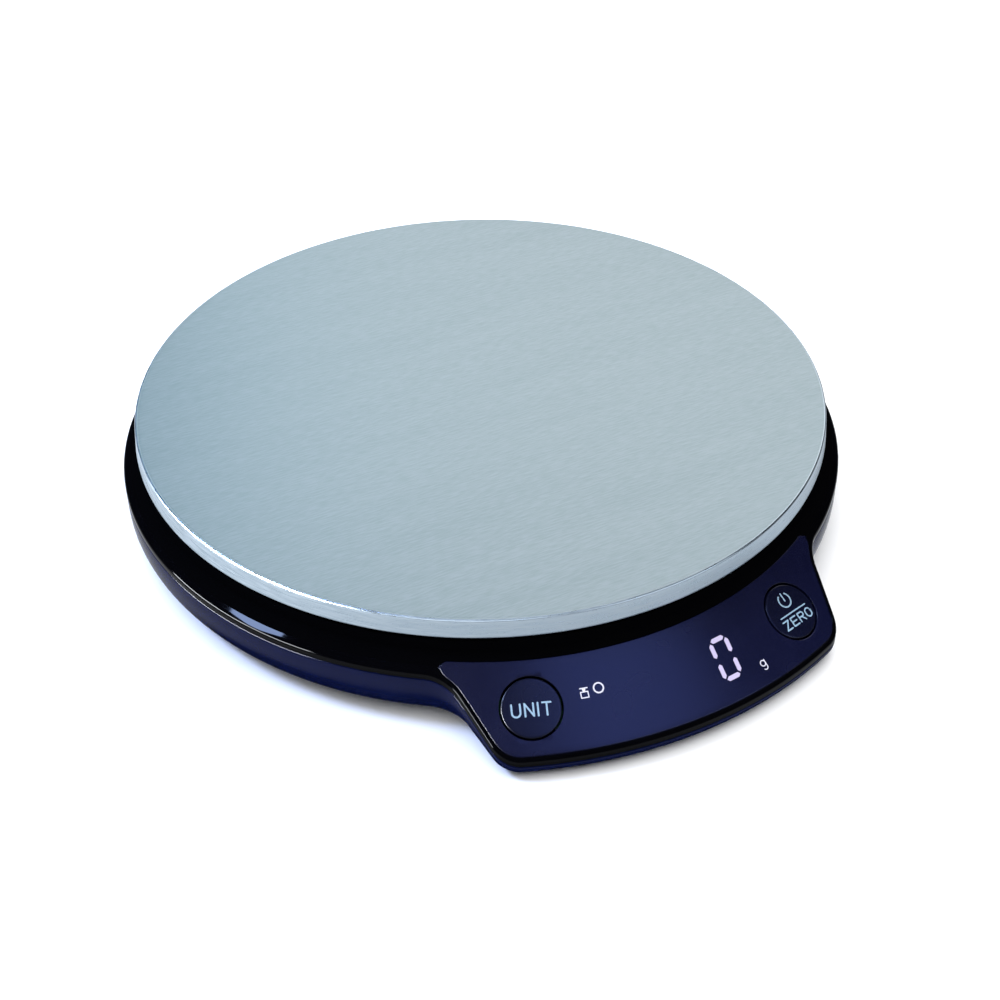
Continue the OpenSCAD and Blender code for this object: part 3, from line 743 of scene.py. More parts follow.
@dataclass
class Assembly:
    """What every sub-assembly shares: the frame, the pan's axis, the case's surfaces, its wall and its band."""

    frame: dict
    outline: CaseOutline = field(default_factory=CaseOutline)
    slope: Slope = field(default_factory=Slope)
    band: float = 1.85 * MM
    wall: float = 2.0 * MM

    @property
    def axis(self) -> Vector:
        """Foot of the pan's axis on the table."""
        low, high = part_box("platform_cover")
        return Vector(((low.x + high.x) / 2, (low.y + high.y) / 2, 0.0))

    def fit(
        self, piece: bpy.types.Object, body: str, finish: Finishes, nodes: Sequence[str] = (), slot: str = ""
    ) -> bpy.types.Object:
        """Dresses a piece, seats it on its body and hides the CAD nodes it stands for.

        Args:
            piece: The piece, in place.
            body: The CAD body it moves with.
            finish: What it is made of.
            nodes: The CAD nodes it replaces.
            slot: The record's material slot; not used.

        Returns:
            The piece.
        """
        finish.dress(piece)
        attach(piece, body)
        if nodes:
            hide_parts(*nodes)
        LOG.info("%s rides on %s in %s", piece.name, body, finish.value.name)
        return piece


@dataclass
class Pan(Assembly):
    """The steel pan: a flat disc of sheet drawn down into a short skirt with a rolled top edge."""

    radius: float = 100 * MM
    flare: float = 0.4 * MM
    sheet: float = 0.6 * MM
    edge_r: float = 0.62 * MM
    groove: float = 0.025 * MM
    groove_in: float = 0.28 * MM
    stations: int = 360

    def build(self) -> None:
        """Builds the pan's top and its skirt."""
        low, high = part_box("platform_cover")
        top, foot = high.z, low.z
        edge = self.radius - self.edge_r
        flat = [(self.radius * s, top) for s in (0.12, 0.3, 0.5, 0.7, 0.85, 0.94)]
        line = edge - self.groove_in
        flat += [(line - 0.5 * MM, top), (line - 0.2 * MM, top), (line, top - self.groove)]
        flat += [(line + self.groove_in / 2, top), (edge, top)]
        lip = [(edge + self.edge_r * math.sin(a), top - self.edge_r * (1 - math.cos(a)))
               for a in (math.radians(10 * k) for k in range(1, 9))]
        hem = self.radius + self.flare
        wall_top = lip[-1]
        drop = [(wall_top[0] + (hem - wall_top[0]) * s, wall_top[1] + (foot + 0.2 * MM - wall_top[1]) * s)
                for s in (0.2, 0.45, 0.7, 0.9, 1.0)]
        roll = arc((hem - self.sheet / 2, foot + self.sheet / 2), self.sheet / 2, 0, -180, 8)
        inside = [(self.radius - self.sheet, top - self.sheet - 0.4 * MM),
                  (self.radius - self.sheet - 0.4 * MM, top - self.sheet)]
        profile = [(0.0, top), *flat, *lip, *drop[:-1], *roll, *inside, (self.radius * 0.5, top - self.sheet),
                   (0.0, top - self.sheet)]
        points, faces = lathe(profile, self.stations)
        cover = smooth(mesh_piece("pan_cover", points, faces, self.axis), 50)
        Finishes.PAN.dress(cover)
        # The skirt and the rolled edge take the paler, bluer copy of the steel: painted reflection
        cover.data.materials.append(Finishes.SKIRT.value.material())
        for face in cover.data.polygons:
            middle = face.center
            if math.hypot(middle.x, middle.y) > edge + 0.05 * MM or middle.z < top - 0.5 * MM:
                face.material_index = 1
        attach(cover, "platform")
        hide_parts("platform_cover")
        LOG.info("%s rides on platform", cover.name)


@dataclass
class Panel(Assembly):
    """The curved control panel that lies flush in the tab, with its print and its lit digit."""

    inner_r: float = 101.9 * MM
    end: float = math.radians(32.46)
    border: float = 1.1 * MM
    corner_r: float = 2.2 * MM
    drop: float = 1.187 * MM
    slack: float = 0.1 * MM
    edge_r: float = 0.18 * MM
    button_r: float = 112.3 * MM
    button_bearing: float = math.radians(20.21)
    hole_r: float = 8.15 * MM

    def stations(self, grow: float) -> list[tuple[float, float]]:
        """Bearings along the panel, each with how far its rounded ends draw in there."""
        reach = self.end + grow / self.inner_r
        radius = self.corner_r + grow
        found = [(reach - drop / self.inner_r, inset) for inset, drop in round_over(radius, 8)]
        last = found[-1][0]
        middle = [(last * (1 - 2 * i / 150), 0.0) for i in range(1, 150)]
        return found + middle + [(-a, o) for a, o in reversed(found)]

    def grid(self, grow: float, sink: float) -> list[list[Vector]]:
        """The panel's face as rows from the inner edge out, grown sideways and sunk down.

        Args:
            grow: How far the edge moves out.
            sink: How far the face moves down.

        Returns:
            Rows of points, each from +X to -X.
        """
        rows = 16
        columns = []
        for bearing, draw in self.stations(grow):
            near = self.inner_r - grow + draw
            far = self.outline.reach(bearing, self.border - grow) - draw
            column = []
            for k in range(rows + 1):
                radius = near + (far - near) * k / rows
                z = self.slope.height(radius) - sink
                column.append(Vector((radius * math.sin(bearing), -radius * math.cos(bearing), z)))
            columns.append(column)
        return [[column[k] for column in columns] for k in range(rows + 1)]

    @staticmethod
    def rim(rows: list[list[Vector]]) -> Ring:
        """The edge of a grid as one loop."""
        right = [row[-1] for row in rows[1:-1]]
        left = [row[0] for row in rows[1:-1]]
        return rows[0] + right + rows[-1][::-1] + left[::-1]

    def solid(self, name: str, levels: Sequence[tuple[float, float]], place: Vector) -> bpy.types.Object:
        """A closed plate whose edge follows (grow, sink) levels from top to bottom."""
        points: list[Vector] = []
        faces: list[list[int]] = []
        for level in (levels[0], levels[-1]):
            rows = self.grid(*level)
            start, wide = len(points), len(rows[0])
            points += [p for row in rows for p in row]
            corners = [start + k * wide + i for k in range(len(rows) - 1) for i in range(wide - 1)]
            faces += [[c, c + 1, c + wide + 1, c + wide] for c in corners]
        loops = [self.rim(self.grid(*level)) for level in levels]
        start = len(points)
        sides, quads = skin(loops, False)
        points += sides
        faces += [[start + i for i in quad] for quad in quads]
        return mesh_piece(name, points, faces, place)

    def recess_tool(self) -> bpy.types.Object:
        """The cutter for the panel's recess, flared at the mouth so its edge is rounded."""
        mouth = self.slack + self.edge_r
        levels = [(mouth, -2 * MM), (mouth, 0.0)]
        levels += [(self.slack + inset, sink) for inset, sink in round_over(self.edge_r, 4)[1:]]
        levels.append((self.slack, self.drop))
        return self.solid("tool", levels, self.axis)

    def hole_tool(self, bearing: float, flare: float, deep: float) -> bpy.types.Object:
        """The cutter for a button's hole, flared at its mouth."""
        mouth = arc((self.hole_r + flare, -flare), flare, 180, 90, 6)
        profile = [(0.0, -deep), (self.hole_r, -deep), *mouth, (self.hole_r + flare, 3 * MM), (0.0, 3 * MM)]
        place = Matrix.Translation(self.axis) @ self.slope.stand(bearing, self.button_r)
        return turned_tool(profile, 96, place)

    def build(self) -> None:
        """Builds the panel, its print and its lit symbols."""
        levels = [(-inset, sink) for inset, sink in round_over(self.edge_r, 5)]
        levels.append((0.0, self.drop - 0.02 * MM))
        plate = self.solid("control_panel_plate", levels, self.axis)
        for side in (-1, 1):
            cut(plate, self.hole_tool(side * self.button_bearing, 0.28 * MM, 4 * MM))
        self.fit(smooth(plate), "base", Finishes.PANEL, ["control_panel"], "panel_film")
        self.lit()

    def printed(self, bearing: float, reach: float) -> Print:
        """A blank print on the slope, at a bearing in degrees and a reach in millimetres."""
        return Print(self.slope, self.slope.stand(math.radians(bearing), reach * MM))

    def digit(self) -> Print:
        """The lit digit: six leaning segments with pointed ends round an empty middle, in millimetres."""
        made = self.printed(7.1, 112.95)
        lean, w, h, half = math.tan(math.radians(6)), 4.9, 10.4, 0.62
        for side in (-1, 1):
            for up in (-1, 1):
                x, y0, y1 = side * w / 2, up * 0.8, up * (h / 2 - 0.7)
                ends = [(y0, 0.0, 0.0), (y0 + up * 0.55, -half, half)]
                ends += [(y1 - up * 0.35, -half, half), (y1 + up * 0.3, 0.0, 0.0)]
                made.add([((x + a + y * lean, y), (x + b + y * lean, y)) for y, a, b in ends])
        for up in (-1, 1):
            y, reach = up * h / 2, w / 2 - 0.35
            ends = [(-reach, 0.0), (-reach + 0.6, half), (reach - 0.6, half), (reach, 0.0)]
            made.add([((x + (y + a) * lean, y + a), (x + (y - a) * lean, y - a)) for x, a in ends])
        return made

    def lit(self) -> None:
        """Builds the digit, the unit letter and the two small symbols."""
        hook = [(0.78, 1.1), (0.78, -0.75), *arc((0.08, -0.75), 0.7, 0, -140, 10)[1:]]
        gram = self.printed(11.5, 118.2).ring((0.0, 0.35), 0.75, 0.26).strokes([Stroke(hook, 0.26)])
        w = 0.95
        box = [(-w, -1.25), (w, -1.25), (w, 0.25), (-w, 0.25)]
        tare = self.printed(-13.1, 110.6).strokes([Stroke([box[k], box[(k + 1) % 4]], 0.28) for k in range(4)])
        tare.strokes([Stroke([(-w, 1.2), (w, 1.2)], 0.3)])
        tare.add([((-0.5, 1.1), (0.5, 1.1)), ((-0.3, 0.3), (0.3, 0.3))])
        steady = self.printed(-11.1, 110.1).ring((0.0, 0.0), 1.25, 0.38)
        shown = (
            ("display_digit", self.digit(), Finishes.SEGMENT),
            ("display_gram_symbol", gram, Finishes.SYMBOL),
            ("display_tare_symbol", tare, Finishes.SYMBOL),
            ("display_steady_symbol", steady, Finishes.SYMBOL),
        )
        for name, made, finish in shown:
            self.fit(made.piece(name, self.axis), "base", finish, slot="display_epoxy")


@dataclass
class UpperShell(Assembly):
    """The black upper shell: the deck under the pan, its neck, the sloping rim and the tab's bed."""

    neck_r: float = 100.2 * MM
    deck_z: float = 26.25 * MM
    deck_t: float = 1.8 * MM
    fillet: float = 1.9 * MM
    # Width of the rim band beside the neck that takes the dead-black painted shade
    shade_band_w: float = 2.6 * MM
    edge_r: float = 0.45 * MM
    lip: float = 1.6 * MM
    bed: float = 3.086 * MM
    window: Point = (23.3 * MM, 7.3 * MM)
    stem_slot: tuple[Point, Point] = ((9.25 * MM, -11 * MM), (37.25 * MM, 11 * MM))

    def rings(self) -> list[Ring]:
        """Every ring of the shell's skin, from the deck's middle out over the rim and back inside."""
        loop = self.outline.loop()
        rays = [p.normalized() for p, _ in loop]

        def round_ring(radius: float, z: float) -> Ring:
            return [Vector((radius * ray.x, radius * ray.y, z)) for ray in rays]

        def edge_ring(inset: float, sink: float | Sequence[float]) -> Ring:
            ring = []
            for i, (p, n) in enumerate(loop):
                q = p + inset * n
                below = sink if isinstance(sink, float) else sink[i]
                ring.append(Vector((q.x, q.y, self.slope.height(q.length) - below)))
            return ring

        lean = self.slope.lean
        foot = self.slope.height(self.neck_r)
        heart = (self.neck_r + self.fillet, foot + self.fillet * (1 - math.sin(lean)) / math.cos(lean))
        corner = arc((self.neck_r - 0.5 * MM, self.deck_z - 0.5 * MM), 0.5 * MM, 90, 0, 5)
        hollow = arc(heart, self.fillet, 180, 270 - math.degrees(lean), 8)
        rings = [round_ring(r * MM, self.deck_z) for r in (20.0, 50.0, 80.0)]
        rings += [round_ring(r, z) for r, z in corner + hollow]
        start, end = rings[-1], edge_ring(self.edge_r, 0.0)
        reach = self.outline.rim_r - self.edge_r - self.neck_r
        shade_share = self.shade_band_w / reach
        for share in (shade_share, 0.7, 0.85, 1.0):
            ring = []
            for a, b in zip(start, end):
                p = a.lerp(b, share)
                ring.append(Vector((p.x, p.y, self.slope.height(math.hypot(p.x, p.y)))))
            rings.append(ring)
        rings += [edge_ring(inset, sink) for inset, sink in round_over(self.edge_r, 6)[1:]]
        rings += [edge_ring(0.0, self.band * 0.6), edge_ring(0.0, self.band - 0.12 * MM)]
        rings += [edge_ring(0.12 * MM, self.band), edge_ring(self.wall + 0.1 * MM, self.band)]
        rings += [edge_ring(self.wall + 0.1 * MM, self.band + self.lip)]
        rings += [edge_ring(self.wall + 1.3 * MM, self.band + self.lip)]
        roof = []
        for p, _ in loop:
            share = min(max((p.length - self.outline.rim_r - 1 * MM) / (3 * MM), 0.0), 1.0)
            roof.append(self.band + (self.bed - self.band) * share * share * (3 - 2 * share))
        rings.append(edge_ring(self.wall + 1.3 * MM, roof))
        inner = self.neck_r - self.wall
        outer_ring = rings[-1]
        for share in (0.5, 1.0):
            ring = []
            for p, ray, below in zip(outer_ring, rays, roof):
                radius = math.hypot(p.x, p.y) * (1 - share) + inner * share
                ring.append(Vector((radius * ray.x, radius * ray.y, self.slope.height(radius) - below)))
            rings.append(ring)
        rings += [round_ring(inner, self.deck_z - self.deck_t)]
        rings += [round_ring(r * MM, self.deck_z - self.deck_t) for r in (60.0, 20.0)]
        return rings

    def build(self, panel: Panel) -> None:
        """Builds the shell and cuts its recess, holes and windows.

        Args:
            panel: The control panel that lies in it.
        """
        shell = mesh_piece("upper_case_shell", *skin(self.rings()), self.axis)
        cut(shell, panel.recess_tool())
        for side in (-1, 1):
            cut(shell, panel.hole_tool(side * panel.button_bearing, 0.0, 8 * MM))
        window = self.slope.stand(0.0, self.outline.rim_r + 8 * MM)
        wide, tall = self.window
        opening = block_tool((-wide, -tall, -8 * MM), (wide, tall, -0.6 * MM))
        opening.data.transform(Matrix.Translation(self.axis) @ window)
        cut(shell, opening)
        (left, near), (right, far) = self.stem_slot
        y = self.axis.y
        cut(shell, block_tool((left, y + near, self.deck_z - 3.25 * MM), (right, y + far, self.deck_z + 1.75 * MM)))
        self.fit(smooth(shell), "base", Finishes.BLACK_ABS, ["upper_shell"], "black_gloss_plastic")
        # The deck, its neck and the first band of the rim take the reflectionless black finish: painted shade under
        # the pan
        shell.data.materials.append(Finishes.DECK_ABS.value.material())
        for face in shell.data.polygons:
            face.material_index = int(face.center.xy.length < self.neck_r + self.shade_band_w)


@dataclass
class LowerShell(Assembly):
    """The navy lower shell: a shallow bowl that turns under, with the battery bay, seats and screw wells."""

    floor_z: float = 2.0 * MM
    seam: float = 0.3 * MM
    turn_r: float = 9.5 * MM
    screw_at: float = 90 * MM
    screw_bearings: tuple[int, ...] = (38, 75, 112, 165)
    boss_r: float = 3.9 * MM
    head_top: float = 9.0 * MM
    boss_top: float = 15.0 * MM
    feet: tuple[tuple[float, int], ...] = ((92.0, 27), (84.0, 143))
    cell_post: tuple[float, float] = (-38.75 * MM, -13.75 * MM)
    cell_screws: tuple[float, float] = (-29.5 * MM, -17.0 * MM)
    bay: tuple[Point, Point] = ((-27.25 * MM, 20 * MM), (27.25 * MM, 54.2 * MM))
    bay_wall: float = 1.5 * MM
    bay_room: float = 0.4 * MM
    ledge_top: float = 5.0 * MM
    door_top: float = 4.5 * MM
    door_gap: float = 0.3 * MM
    barrel: float = 22.3 * MM
    finger_r: float = 7.0 * MM

    def rings(self) -> list[Ring]:
        """Every ring of the shell's skin, from the middle of its underside out, up and back inside."""
        loop = self.outline.loop()
        tops = [self.slope.height(p.length) - self.band - self.seam for p, _ in loop]
        turns = [min(self.turn_r, 0.86 * (top - self.floor_z)) for top in tops]

        def ring(insets: Sequence[float], heights: Sequence[float]) -> Ring:
            made = []
            for (p, n), inset, z in zip(loop, insets, heights):
                q = p + inset * n
                made.append(Vector((q.x, q.y, z)))
            return made

        def level(inset: float, sink: float) -> Ring:
            """A ring that follows the slope, as the seam does."""
            made = []
            for p, n in loop:
                q = p + inset * n
                made.append(Vector((q.x, q.y, self.slope.height(q.length) - self.band - self.seam - sink)))
            return made

        foot = ring(turns, [self.floor_z] * len(loop))
        rings = [[Vector((p.x * s, p.y * s, p.z)) for p in foot] for s in (0.25, 0.6, 0.85)]
        for inset, rise in round_over(1.0, 12):
            rings.append(ring([t * inset for t in turns], [self.floor_z + t * rise for t in turns]))
        rings.append(level(0.0, 0.25 * MM))
        rings += [level(0.07 * MM, 0.07 * MM), level(0.25 * MM, 0.0), level(self.wall, 0.0)]
        inner = [max(t - self.wall, 0.5 * MM) for t in turns]
        roof = self.floor_z + self.wall
        for inset, rise in reversed(round_over(1.0, 6)):
            rings.append(ring([self.wall + t * inset for t in inner], [roof + t * rise for t in inner]))
        last = rings[-1]
        rings += [[Vector((p.x * s, p.y * s, p.z)) for p in last] for s in (0.7, 0.25)]
        return rings

    def screws(self) -> list[Vector]:
        """The places of the case screws, measured from the pan's axis."""
        turns = [math.radians(bearing) * side for side in (-1, 1) for bearing in self.screw_bearings]
        return [Vector((math.sin(a), -math.cos(a), 0.0)) * self.screw_at for a in turns]

    def seats(self) -> list[Vector]:
        """The places of the feet, measured from the pan's axis."""
        turns = [(reach, math.radians(bearing) * side) for side in (-1, 1) for reach, bearing in self.feet]
        return [Vector((math.sin(a), -math.cos(a), 0.0)) * (reach * MM) for reach, a in turns]

    def posts(self) -> list[bpy.types.Object]:
        """The screw bosses and the cell's post, which stand on the floor inside."""
        start = self.floor_z + self.wall / 2
        profile = [(0.0, self.boss_top), (self.boss_r, self.boss_top), (self.boss_r, start), (0.0, start)]
        tools = [turned_tool(profile, 32, Matrix.Translation(self.axis + spot)) for spot in self.screws()]
        low, high = self.cell_post
        post = block_tool((low, self.axis.y - 8 * MM, start), (high, self.axis.y + 8 * MM, 8 * MM))
        return [*tools, post]

    def wells(self) -> list[bpy.types.Object]:
        """The round cutters: screw wells, the cell's screw wells and the feet's seats."""
        spots = [(spot, 3.2 * MM, self.head_top) for spot in self.screws()]
        spots += [(spot, 7.1 * MM, self.floor_z + self.wall / 2) for spot in self.seats()]
        spots += [(Vector((x, 0.0, 0.0)), 4.0 * MM, self.floor_z + 1.5 * self.wall) for x in self.cell_screws]
        tools = []
        for spot, r, top in spots:
            chamfer = 0.3 * MM
            profile = [(0.0, top), (r, top), (r, self.floor_z + chamfer), (r + chamfer, self.floor_z),
                       (r + chamfer, -1 * MM), (0.0, -1 * MM)]
            tools.append(turned_tool(profile, 48, Matrix.Translation(self.axis + spot)))
        return tools

    def build(self) -> None:
        """Builds the shell, stands the bay and the posts on its floor, and cuts its underside."""
        shell = mesh_piece("lower_case_shell", *skin(self.rings()), self.axis)
        low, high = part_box("battery_door")
        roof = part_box("batteries")[1].z + self.bay_room
        start, under, t, gap = self.floor_z + self.wall / 2, -1 * MM, self.bay_wall, self.door_gap
        (left, near), (right, far) = [(x, y + self.axis.y) for x, y in self.bay]
        cut(shell, block_tool((left - t, near - t, start), (right + t, far + t, roof + t)), "UNION")
        ledge_low = (low.x - 4 * MM, low.y - 6 * MM, start)
        cut(shell, block_tool(ledge_low, (high.x + 4 * MM, high.y + 3 * MM, self.ledge_top)), "UNION")
        for post in self.posts():
            cut(shell, post, "UNION")
        cut(shell, block_tool((left, near, under), (right, far, roof)))
        seat_high = (high.x + gap, high.y - 2.7 * MM, self.door_top)
        cut(shell, block_tool((low.x - gap, low.y - gap, under), seat_high))
        hinge_low = (-self.barrel, high.y - 4 * MM, under)
        cut(shell, block_tool(hinge_low, (self.barrel, high.y + gap, self.door_top)))
        r, flare = self.finger_r, self.finger_r + 0.4 * MM
        notch = [(0.0, self.door_top), (r, self.door_top), (r, 2.4 * MM), (flare, self.floor_z)]
        notch += [(flare, under), (0.0, under)]
        cut(shell, turned_tool(notch, 64, Matrix.Translation((0.0, low.y, 0.0))))
        for tool in self.wells():
            cut(shell, tool)
        self.fit(smooth(shell), "base", Finishes.NAVY_ABS, ["lower_shell"], "navy_gloss_plastic")


@dataclass
class Button(Assembly):
    """A round push button whose cap follows the slope, with its legend printed on it."""

    name: str = "unit"
    side: int = -1
    radius: float = 7.65 * MM
    edge_r: float = 0.4 * MM
    depth: float = 3.5 * MM
    turn: float = 0.0

    def build(self, panel: Panel) -> None:
        """Builds the cap and prints its legend."""
        frame = self.slope.stand(self.side * panel.button_bearing, panel.button_r)
        turn = [2 * math.pi * i / 96 for i in range(96)]
        levels = [(self.radius * s, 0.0) for s in (0.25, 0.5, 0.75, 0.9)]
        levels += [(self.radius - inset, -sink) for inset, sink in round_over(self.edge_r, 6)]
        levels += [(self.radius, -self.depth), (self.radius * 0.5, -self.depth)]
        rings = [
            [self.slope.on(frame, r * math.cos(a), r * math.sin(a), lift) for a in turn] for r, lift in levels
        ]
        body = f"{self.name}_button"
        cap = smooth(mesh_piece(f"{body}_top", *skin(rings), self.axis))
        self.fit(cap, body, Finishes.BUTTON, [f"{body}_cap"], "navy_gloss_plastic")
        legend = Print(self.slope, frame @ Matrix.Rotation(math.radians(self.turn), 4, "Z"))
        if self.name == "unit":
            legend.strokes(Lettering(3.2, 2.15, 1.15, 0.47).write("UNIT", (0.0, -0.4)))
        else:
            legend.ring((0.3, 3.3), 1.95, 0.42, 128, 412)
            legend.strokes([Stroke([(0.3, 3.1), (0.3, 5.3)], 0.42)])
            legend.strokes([Stroke([(-4.4, -0.35), (5.3, -0.35)], 0.36)])
            legend.strokes(Lettering(2.4, 1.9, 0.9, 0.4).write("ZERO", (0.5, -2.7)))
        self.fit(legend.piece(f"{body}_legend", self.axis), body, Finishes.INK, slot="navy_gloss_plastic")


@dataclass
class Feet(Assembly):
    """Four moulded rubber feet with a shallow grip ring on the sole."""

    radius: float = 7 * MM

    def build(self, shell: LowerShell) -> None:
        """Builds the four feet as one piece."""
        r, top = self.radius, 3.0 * MM
        marks = ((0.0, 0.3), (2.4, 0.3), (2.7, 0.0), (4.4, 0.0), (4.6, 0.25), (4.9, 0.25), (5.1, 0.0))
        sole = [*((x * MM, z * MM) for x, z in marks), (r - 0.8 * MM, 0.0)]
        profile = sole + arc((r - 0.8 * MM, 0.8 * MM), 0.8 * MM, -90, 0, 6)[1:] + [(r, top), (0.0, top)]
        feet = [mesh_piece("foot", *lathe(profile, 64), self.axis + spot) for spot in shell.seats()]
        bpy.context.view_layer.update()
        made = smooth(joined(feet, "rubber_feet_moulded"))
        self.fit(made, "base", Finishes.RUBBER, ["rubber_feet"], "foot_rubber")


@dataclass
class Inside(Assembly):
    """The pieces inside the case, which keep their CAD shapes and get real finishes and soft edges."""

    bevel: float = 0.12 * MM

    def finishes(self) -> dict[str, Finishes]:
        """Which finish each carried-over node has."""
        f = Finishes
        return {
            "main_board": f.BOARD, "display_board": f.BOARD, "unit_switch_board": f.BOARD,
            "zero_switch_board": f.BOARD, "controller_chip": f.RESIN, "converter_chip": f.RESIN,
            "smoothing_capacitor": f.SLEEVE, "display_module": f.DISPLAY, "unit_switch": f.SWITCH,
            "zero_switch": f.SWITCH, "unit_switch_plunger": f.PLUNGER, "zero_switch_plunger": f.PLUNGER,
            "load_cell": f.CELL, "strain_gauges": f.FOIL, "gauge_sealant": f.SILICONE,
            "lower_cell_spacer": f.PLATE, "upper_cell_spacer": f.PLATE, "lower_cell_screws": f.SCREW,
            "upper_cell_screws": f.SCREW, "board_screws": f.SCREW, "case_screws": f.BLACK_SCREW,
            "overload_stop": f.RUBBER, "batteries": f.JACKET, "battery_springs": f.NICKEL,
            "battery_contacts": f.NICKEL, "battery_wires": f.WIRE, "cell_cable": f.CABLE,
            "display_ribbon": f.CABLE, "platform_carrier": f.CARRIER, "adhesive_pads": f.TAPE,
            "battery_door": f.NAVY_ABS, "door_pad": f.FOAM,
        }

    def build(self) -> None:
        """Dresses each node and softens its edges."""
        for name, finish in self.finishes().items():
            node = self.frame["nodes"][name]
            finish.dress(node)
            weld = node.modifiers.new("weld", "WELD")
            weld.merge_threshold = 0.002 * MM
            soft = node.modifiers.new("soft_edges", "BEVEL")
            soft.width, soft.segments, soft.limit_method = self.bevel, 2, "ANGLE"
            soft.angle_limit = math.radians(38)
            soft.harden_normals = False
            LOG.info("%s dressed in %s", name, finish.value.name)


@dataclass(frozen=True)
class Light:
    """One softbox: where it stands, where it looks, how big it is and how bright."""

    name: str
    place: tuple[float, float, float]
    size: tuple[float, float]
    power: float
    colour: str = "#ffffff"
    glossy: bool = True
    diffuse: bool = True
    only: tuple[str, ...] = ()
    target: tuple[float, float, float] = (0.0, 0.0, 0.02)


# Words in the names of the pieces that some softboxes are flagged off to
PANEL, PAN = ("panel", "button"), ("pan_cover",)


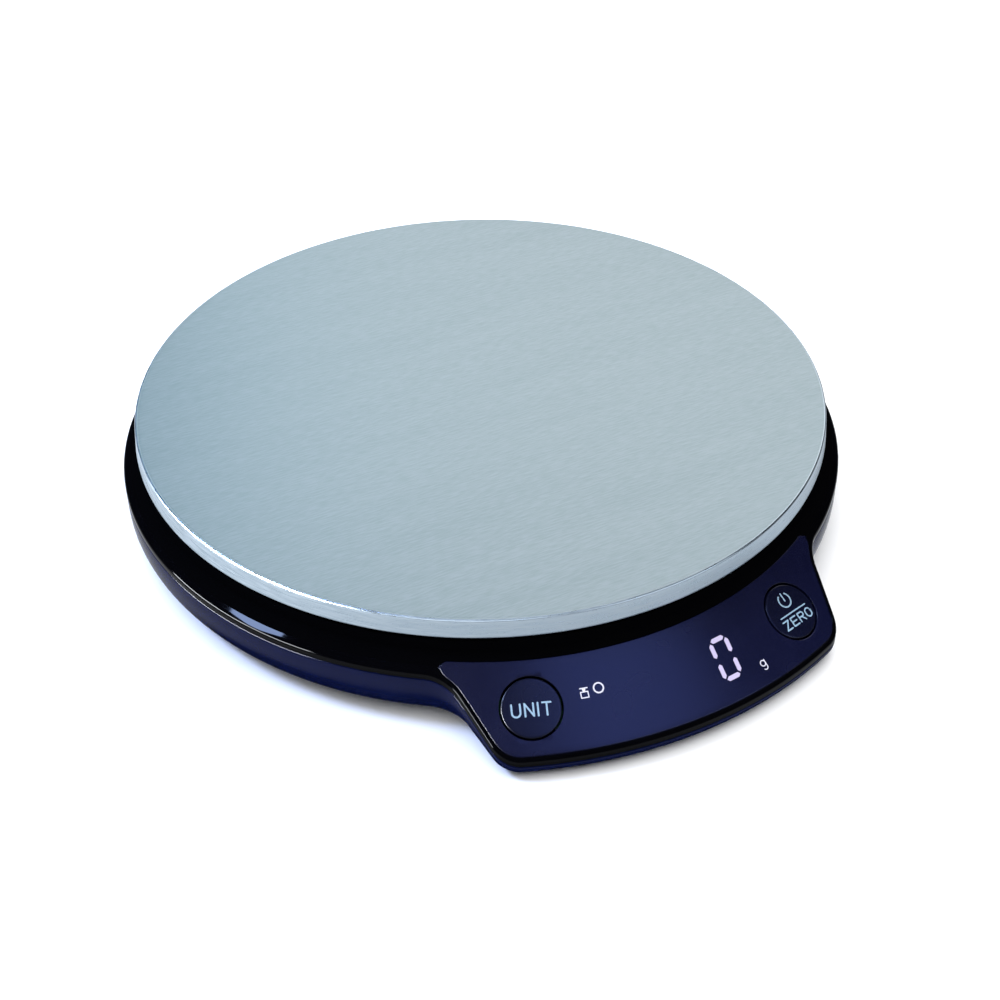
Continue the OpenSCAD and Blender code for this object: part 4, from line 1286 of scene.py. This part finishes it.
@dataclass
class Studio:
    """Pale floor, softboxes and camera."""

    lights: tuple[Light, ...] = (
        Light("rim_softbox", (-0.95, 0.45, 1.22), (0.44, 0.3), 24.0, "#aec8ff"),
        Light("edge_softbox", (-1.45, 0.2, 0.42), (1.3, 0.3), 95.0, "#f4f8ff", diffuse=False),
        Light("overhead_silk", (0.0, 0.0, 2.2), (4.4, 4.4), 175.0, glossy=False),
        Light("back_softbox", (1.35, 1.6, 1.5), (2.4, 1.6), 16.5, "#fffdfb"),
        Light("cool_back_softbox", (0.1, 1.95, 1.35), (1.0, 1.2), 1.6, "#95e1ff"),
        Light("panel_softbox", (0.35, -0.66, 1.42), (0.75, 0.7), 3.4, "#7b93ff", only=PANEL),
        Light("panel_strip", (0.56, -1.25, 0.82), (1.2, 0.25), 3.8, "#b9ccff", diffuse=False, only=PANEL),
        Light("pan_front_left_softbox", (-1.0, -1.9, 1.35), (1.9, 1.4), 13.0, "#f3f7ff", only=PAN),
        Light("pan_front_right_softbox", (1.1, -1.85, 1.35), (1.9, 1.4), 13.0, "#f3f7ff", only=PAN),
        Light("pan_left_softbox", (-2.1, 0.35, 1.35), (1.9, 1.4), 11.0, "#eaf2ff", only=PAN),
        Light("pan_overhead_softbox", (0.0, 0.0, 2.4), (1.6, 1.6), 7.0, "#f3f7ff", only=PAN),
    )
    eye: tuple[float, float, float] = (-179.744, -368.529, 286.145)
    aim: tuple[float, float] = (-0.151, -12.308)
    lens: float = 61.42
    roll: float = math.radians(-0.417)

    def floor(self) -> None:
        """Lays a plain pale floor."""
        size = 6.0
        points = [Vector((x * size, y * size, 0.0)) for x, y in ((-1, -1), (1, -1), (1, 1), (-1, 1))]
        floor = mesh_piece("floor", points, [[0, 1, 2, 3]], Vector((0.0, 0.0, -0.02 * MM)))
        paint = Finish("studio_paper_white", "#f4f5f7", "#f6f7f9", roughness=0.9, grain_mm=60.0, depth_mm=0.0,
                       specular=0.1)
        floor.data.materials.append(paint.material())
        floor.visible_glossy = False

    def lamps(self) -> None:
        """Hangs the softboxes and sets the room's low light."""
        for light in self.lights:
            data = bpy.data.lights.new(light.name, "AREA")
            data.shape, data.size, data.size_y = "RECTANGLE", *light.size
            data.energy = light.power
            data.color = linear(light.colour)[:3]
            lamp = bpy.data.objects.new(light.name, data)
            lamp.location = light.place
            away = Vector(light.target) - Vector(light.place)
            lamp.rotation_euler = away.to_track_quat("-Z", "Y").to_euler()
            lamp.visible_glossy, lamp.visible_diffuse = light.glossy, light.diffuse
            lamp.visible_camera = False
            bpy.context.scene.collection.objects.link(lamp)
            if light.only:
                lamp.light_linking.receiver_collection = self.group(light.only)
        self.room()

    def group(self, words: Sequence[str]) -> bpy.types.Collection:
        """A collection of the pieces that one softbox is flagged off to.

        Args:
            words: Words in the pieces' names.

        Returns:
            The collection, not linked to the scene.
        """
        held = bpy.data.collections.new("_".join(("lit", *words)))
        for piece in bpy.context.scene.objects:
            if piece.type == "MESH" and any(word in piece.name for word in words):
                held.objects.link(piece)
        return held

    def room(self) -> None:
        """Makes the room: dark overhead, and pale low down where polished sides see the floor beyond."""
        world = bpy.data.worlds.new("studio_room")
        world.use_nodes = True
        tree = world.node_tree
        tree.nodes.clear()
        place = add_node(tree, "ShaderNodeTexCoord")
        height = add_node(tree, "ShaderNodeSeparateXYZ", links={0: place.outputs["Generated"]})
        whole = {"From Min": -1.0, "From Max": 1.0}
        ramp = add_node(tree, "ShaderNodeMapRange", whole, {"Value": height.outputs["Z"]})
        tone = add_node(tree, "ShaderNodeValToRGB", links={"Fac": ramp.outputs[0]})
        marks = ((0.0, "#000000"), (0.1, "#10131c"), (0.17, "#eef2f8"), (0.38, "#f6f8fc"), (0.5, "#20242c"),
                 (0.6, "#000000"))
        ladder = tone.color_ramp.elements
        for position, _ in marks[2:]:
            ladder.new(position)
        for step, (position, colour) in zip(sorted(ladder, key=lambda e: e.position), marks):
            step.position, step.color = position, linear(colour)
        sky = add_node(tree, "ShaderNodeBackground", {"Strength": 0.72}, {"Color": tone.outputs[0]})
        add_node(tree, "ShaderNodeOutputWorld", links={"Surface": sky.outputs[0]})
        bpy.context.scene.world = world

    def camera(self, pan: Vector, top: float) -> None:
        """Stands the camera before the scale.

        Args:
            pan: Foot of the pan's axis.
            top: Height of the pan's top.
        """
        data = bpy.data.cameras.new("camera")
        data.lens, data.sensor_width = self.lens, 36.0
        data.clip_start, data.clip_end = 0.01, 50.0
        camera = bpy.data.objects.new("camera", data)
        camera.location = pan + Vector((0.0, 0.0, top)) + Vector(self.eye) * MM
        away = pan + Vector((*self.aim, 0.0)) * MM - camera.location
        turn = away.to_track_quat("-Z", "Y").to_matrix() @ Matrix.Rotation(self.roll, 3, "Z")
        camera.rotation_euler = turn.to_euler()
        bpy.context.scene.collection.objects.link(camera)
        bpy.context.scene.camera = camera

    def build(self, pan: Vector, top: float) -> None:
        """Builds the whole studio round the scale."""
        bpy.context.scene.view_settings.view_transform = "Standard"
        self.floor()
        self.lamps()
        self.camera(pan, top)


def main() -> None:
    """Builds the scale and the studio."""
    logging.basicConfig(level=logging.INFO, format="%(message)s")
    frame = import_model()
    pan = Pan(frame)
    panel = Panel(frame)
    lower = LowerShell(frame)
    pan.build()
    UpperShell(frame).build(panel)
    lower.build()
    panel.build()
    Button(frame, name="unit", side=-1).build(panel)
    Button(frame, name="zero", side=1, turn=-5.0).build(panel)
    Feet(frame).build(lower)
    Inside(frame).build()
    Studio().build(pan.axis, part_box("platform_cover")[1].z)


if __name__ == "__main__":
    main()
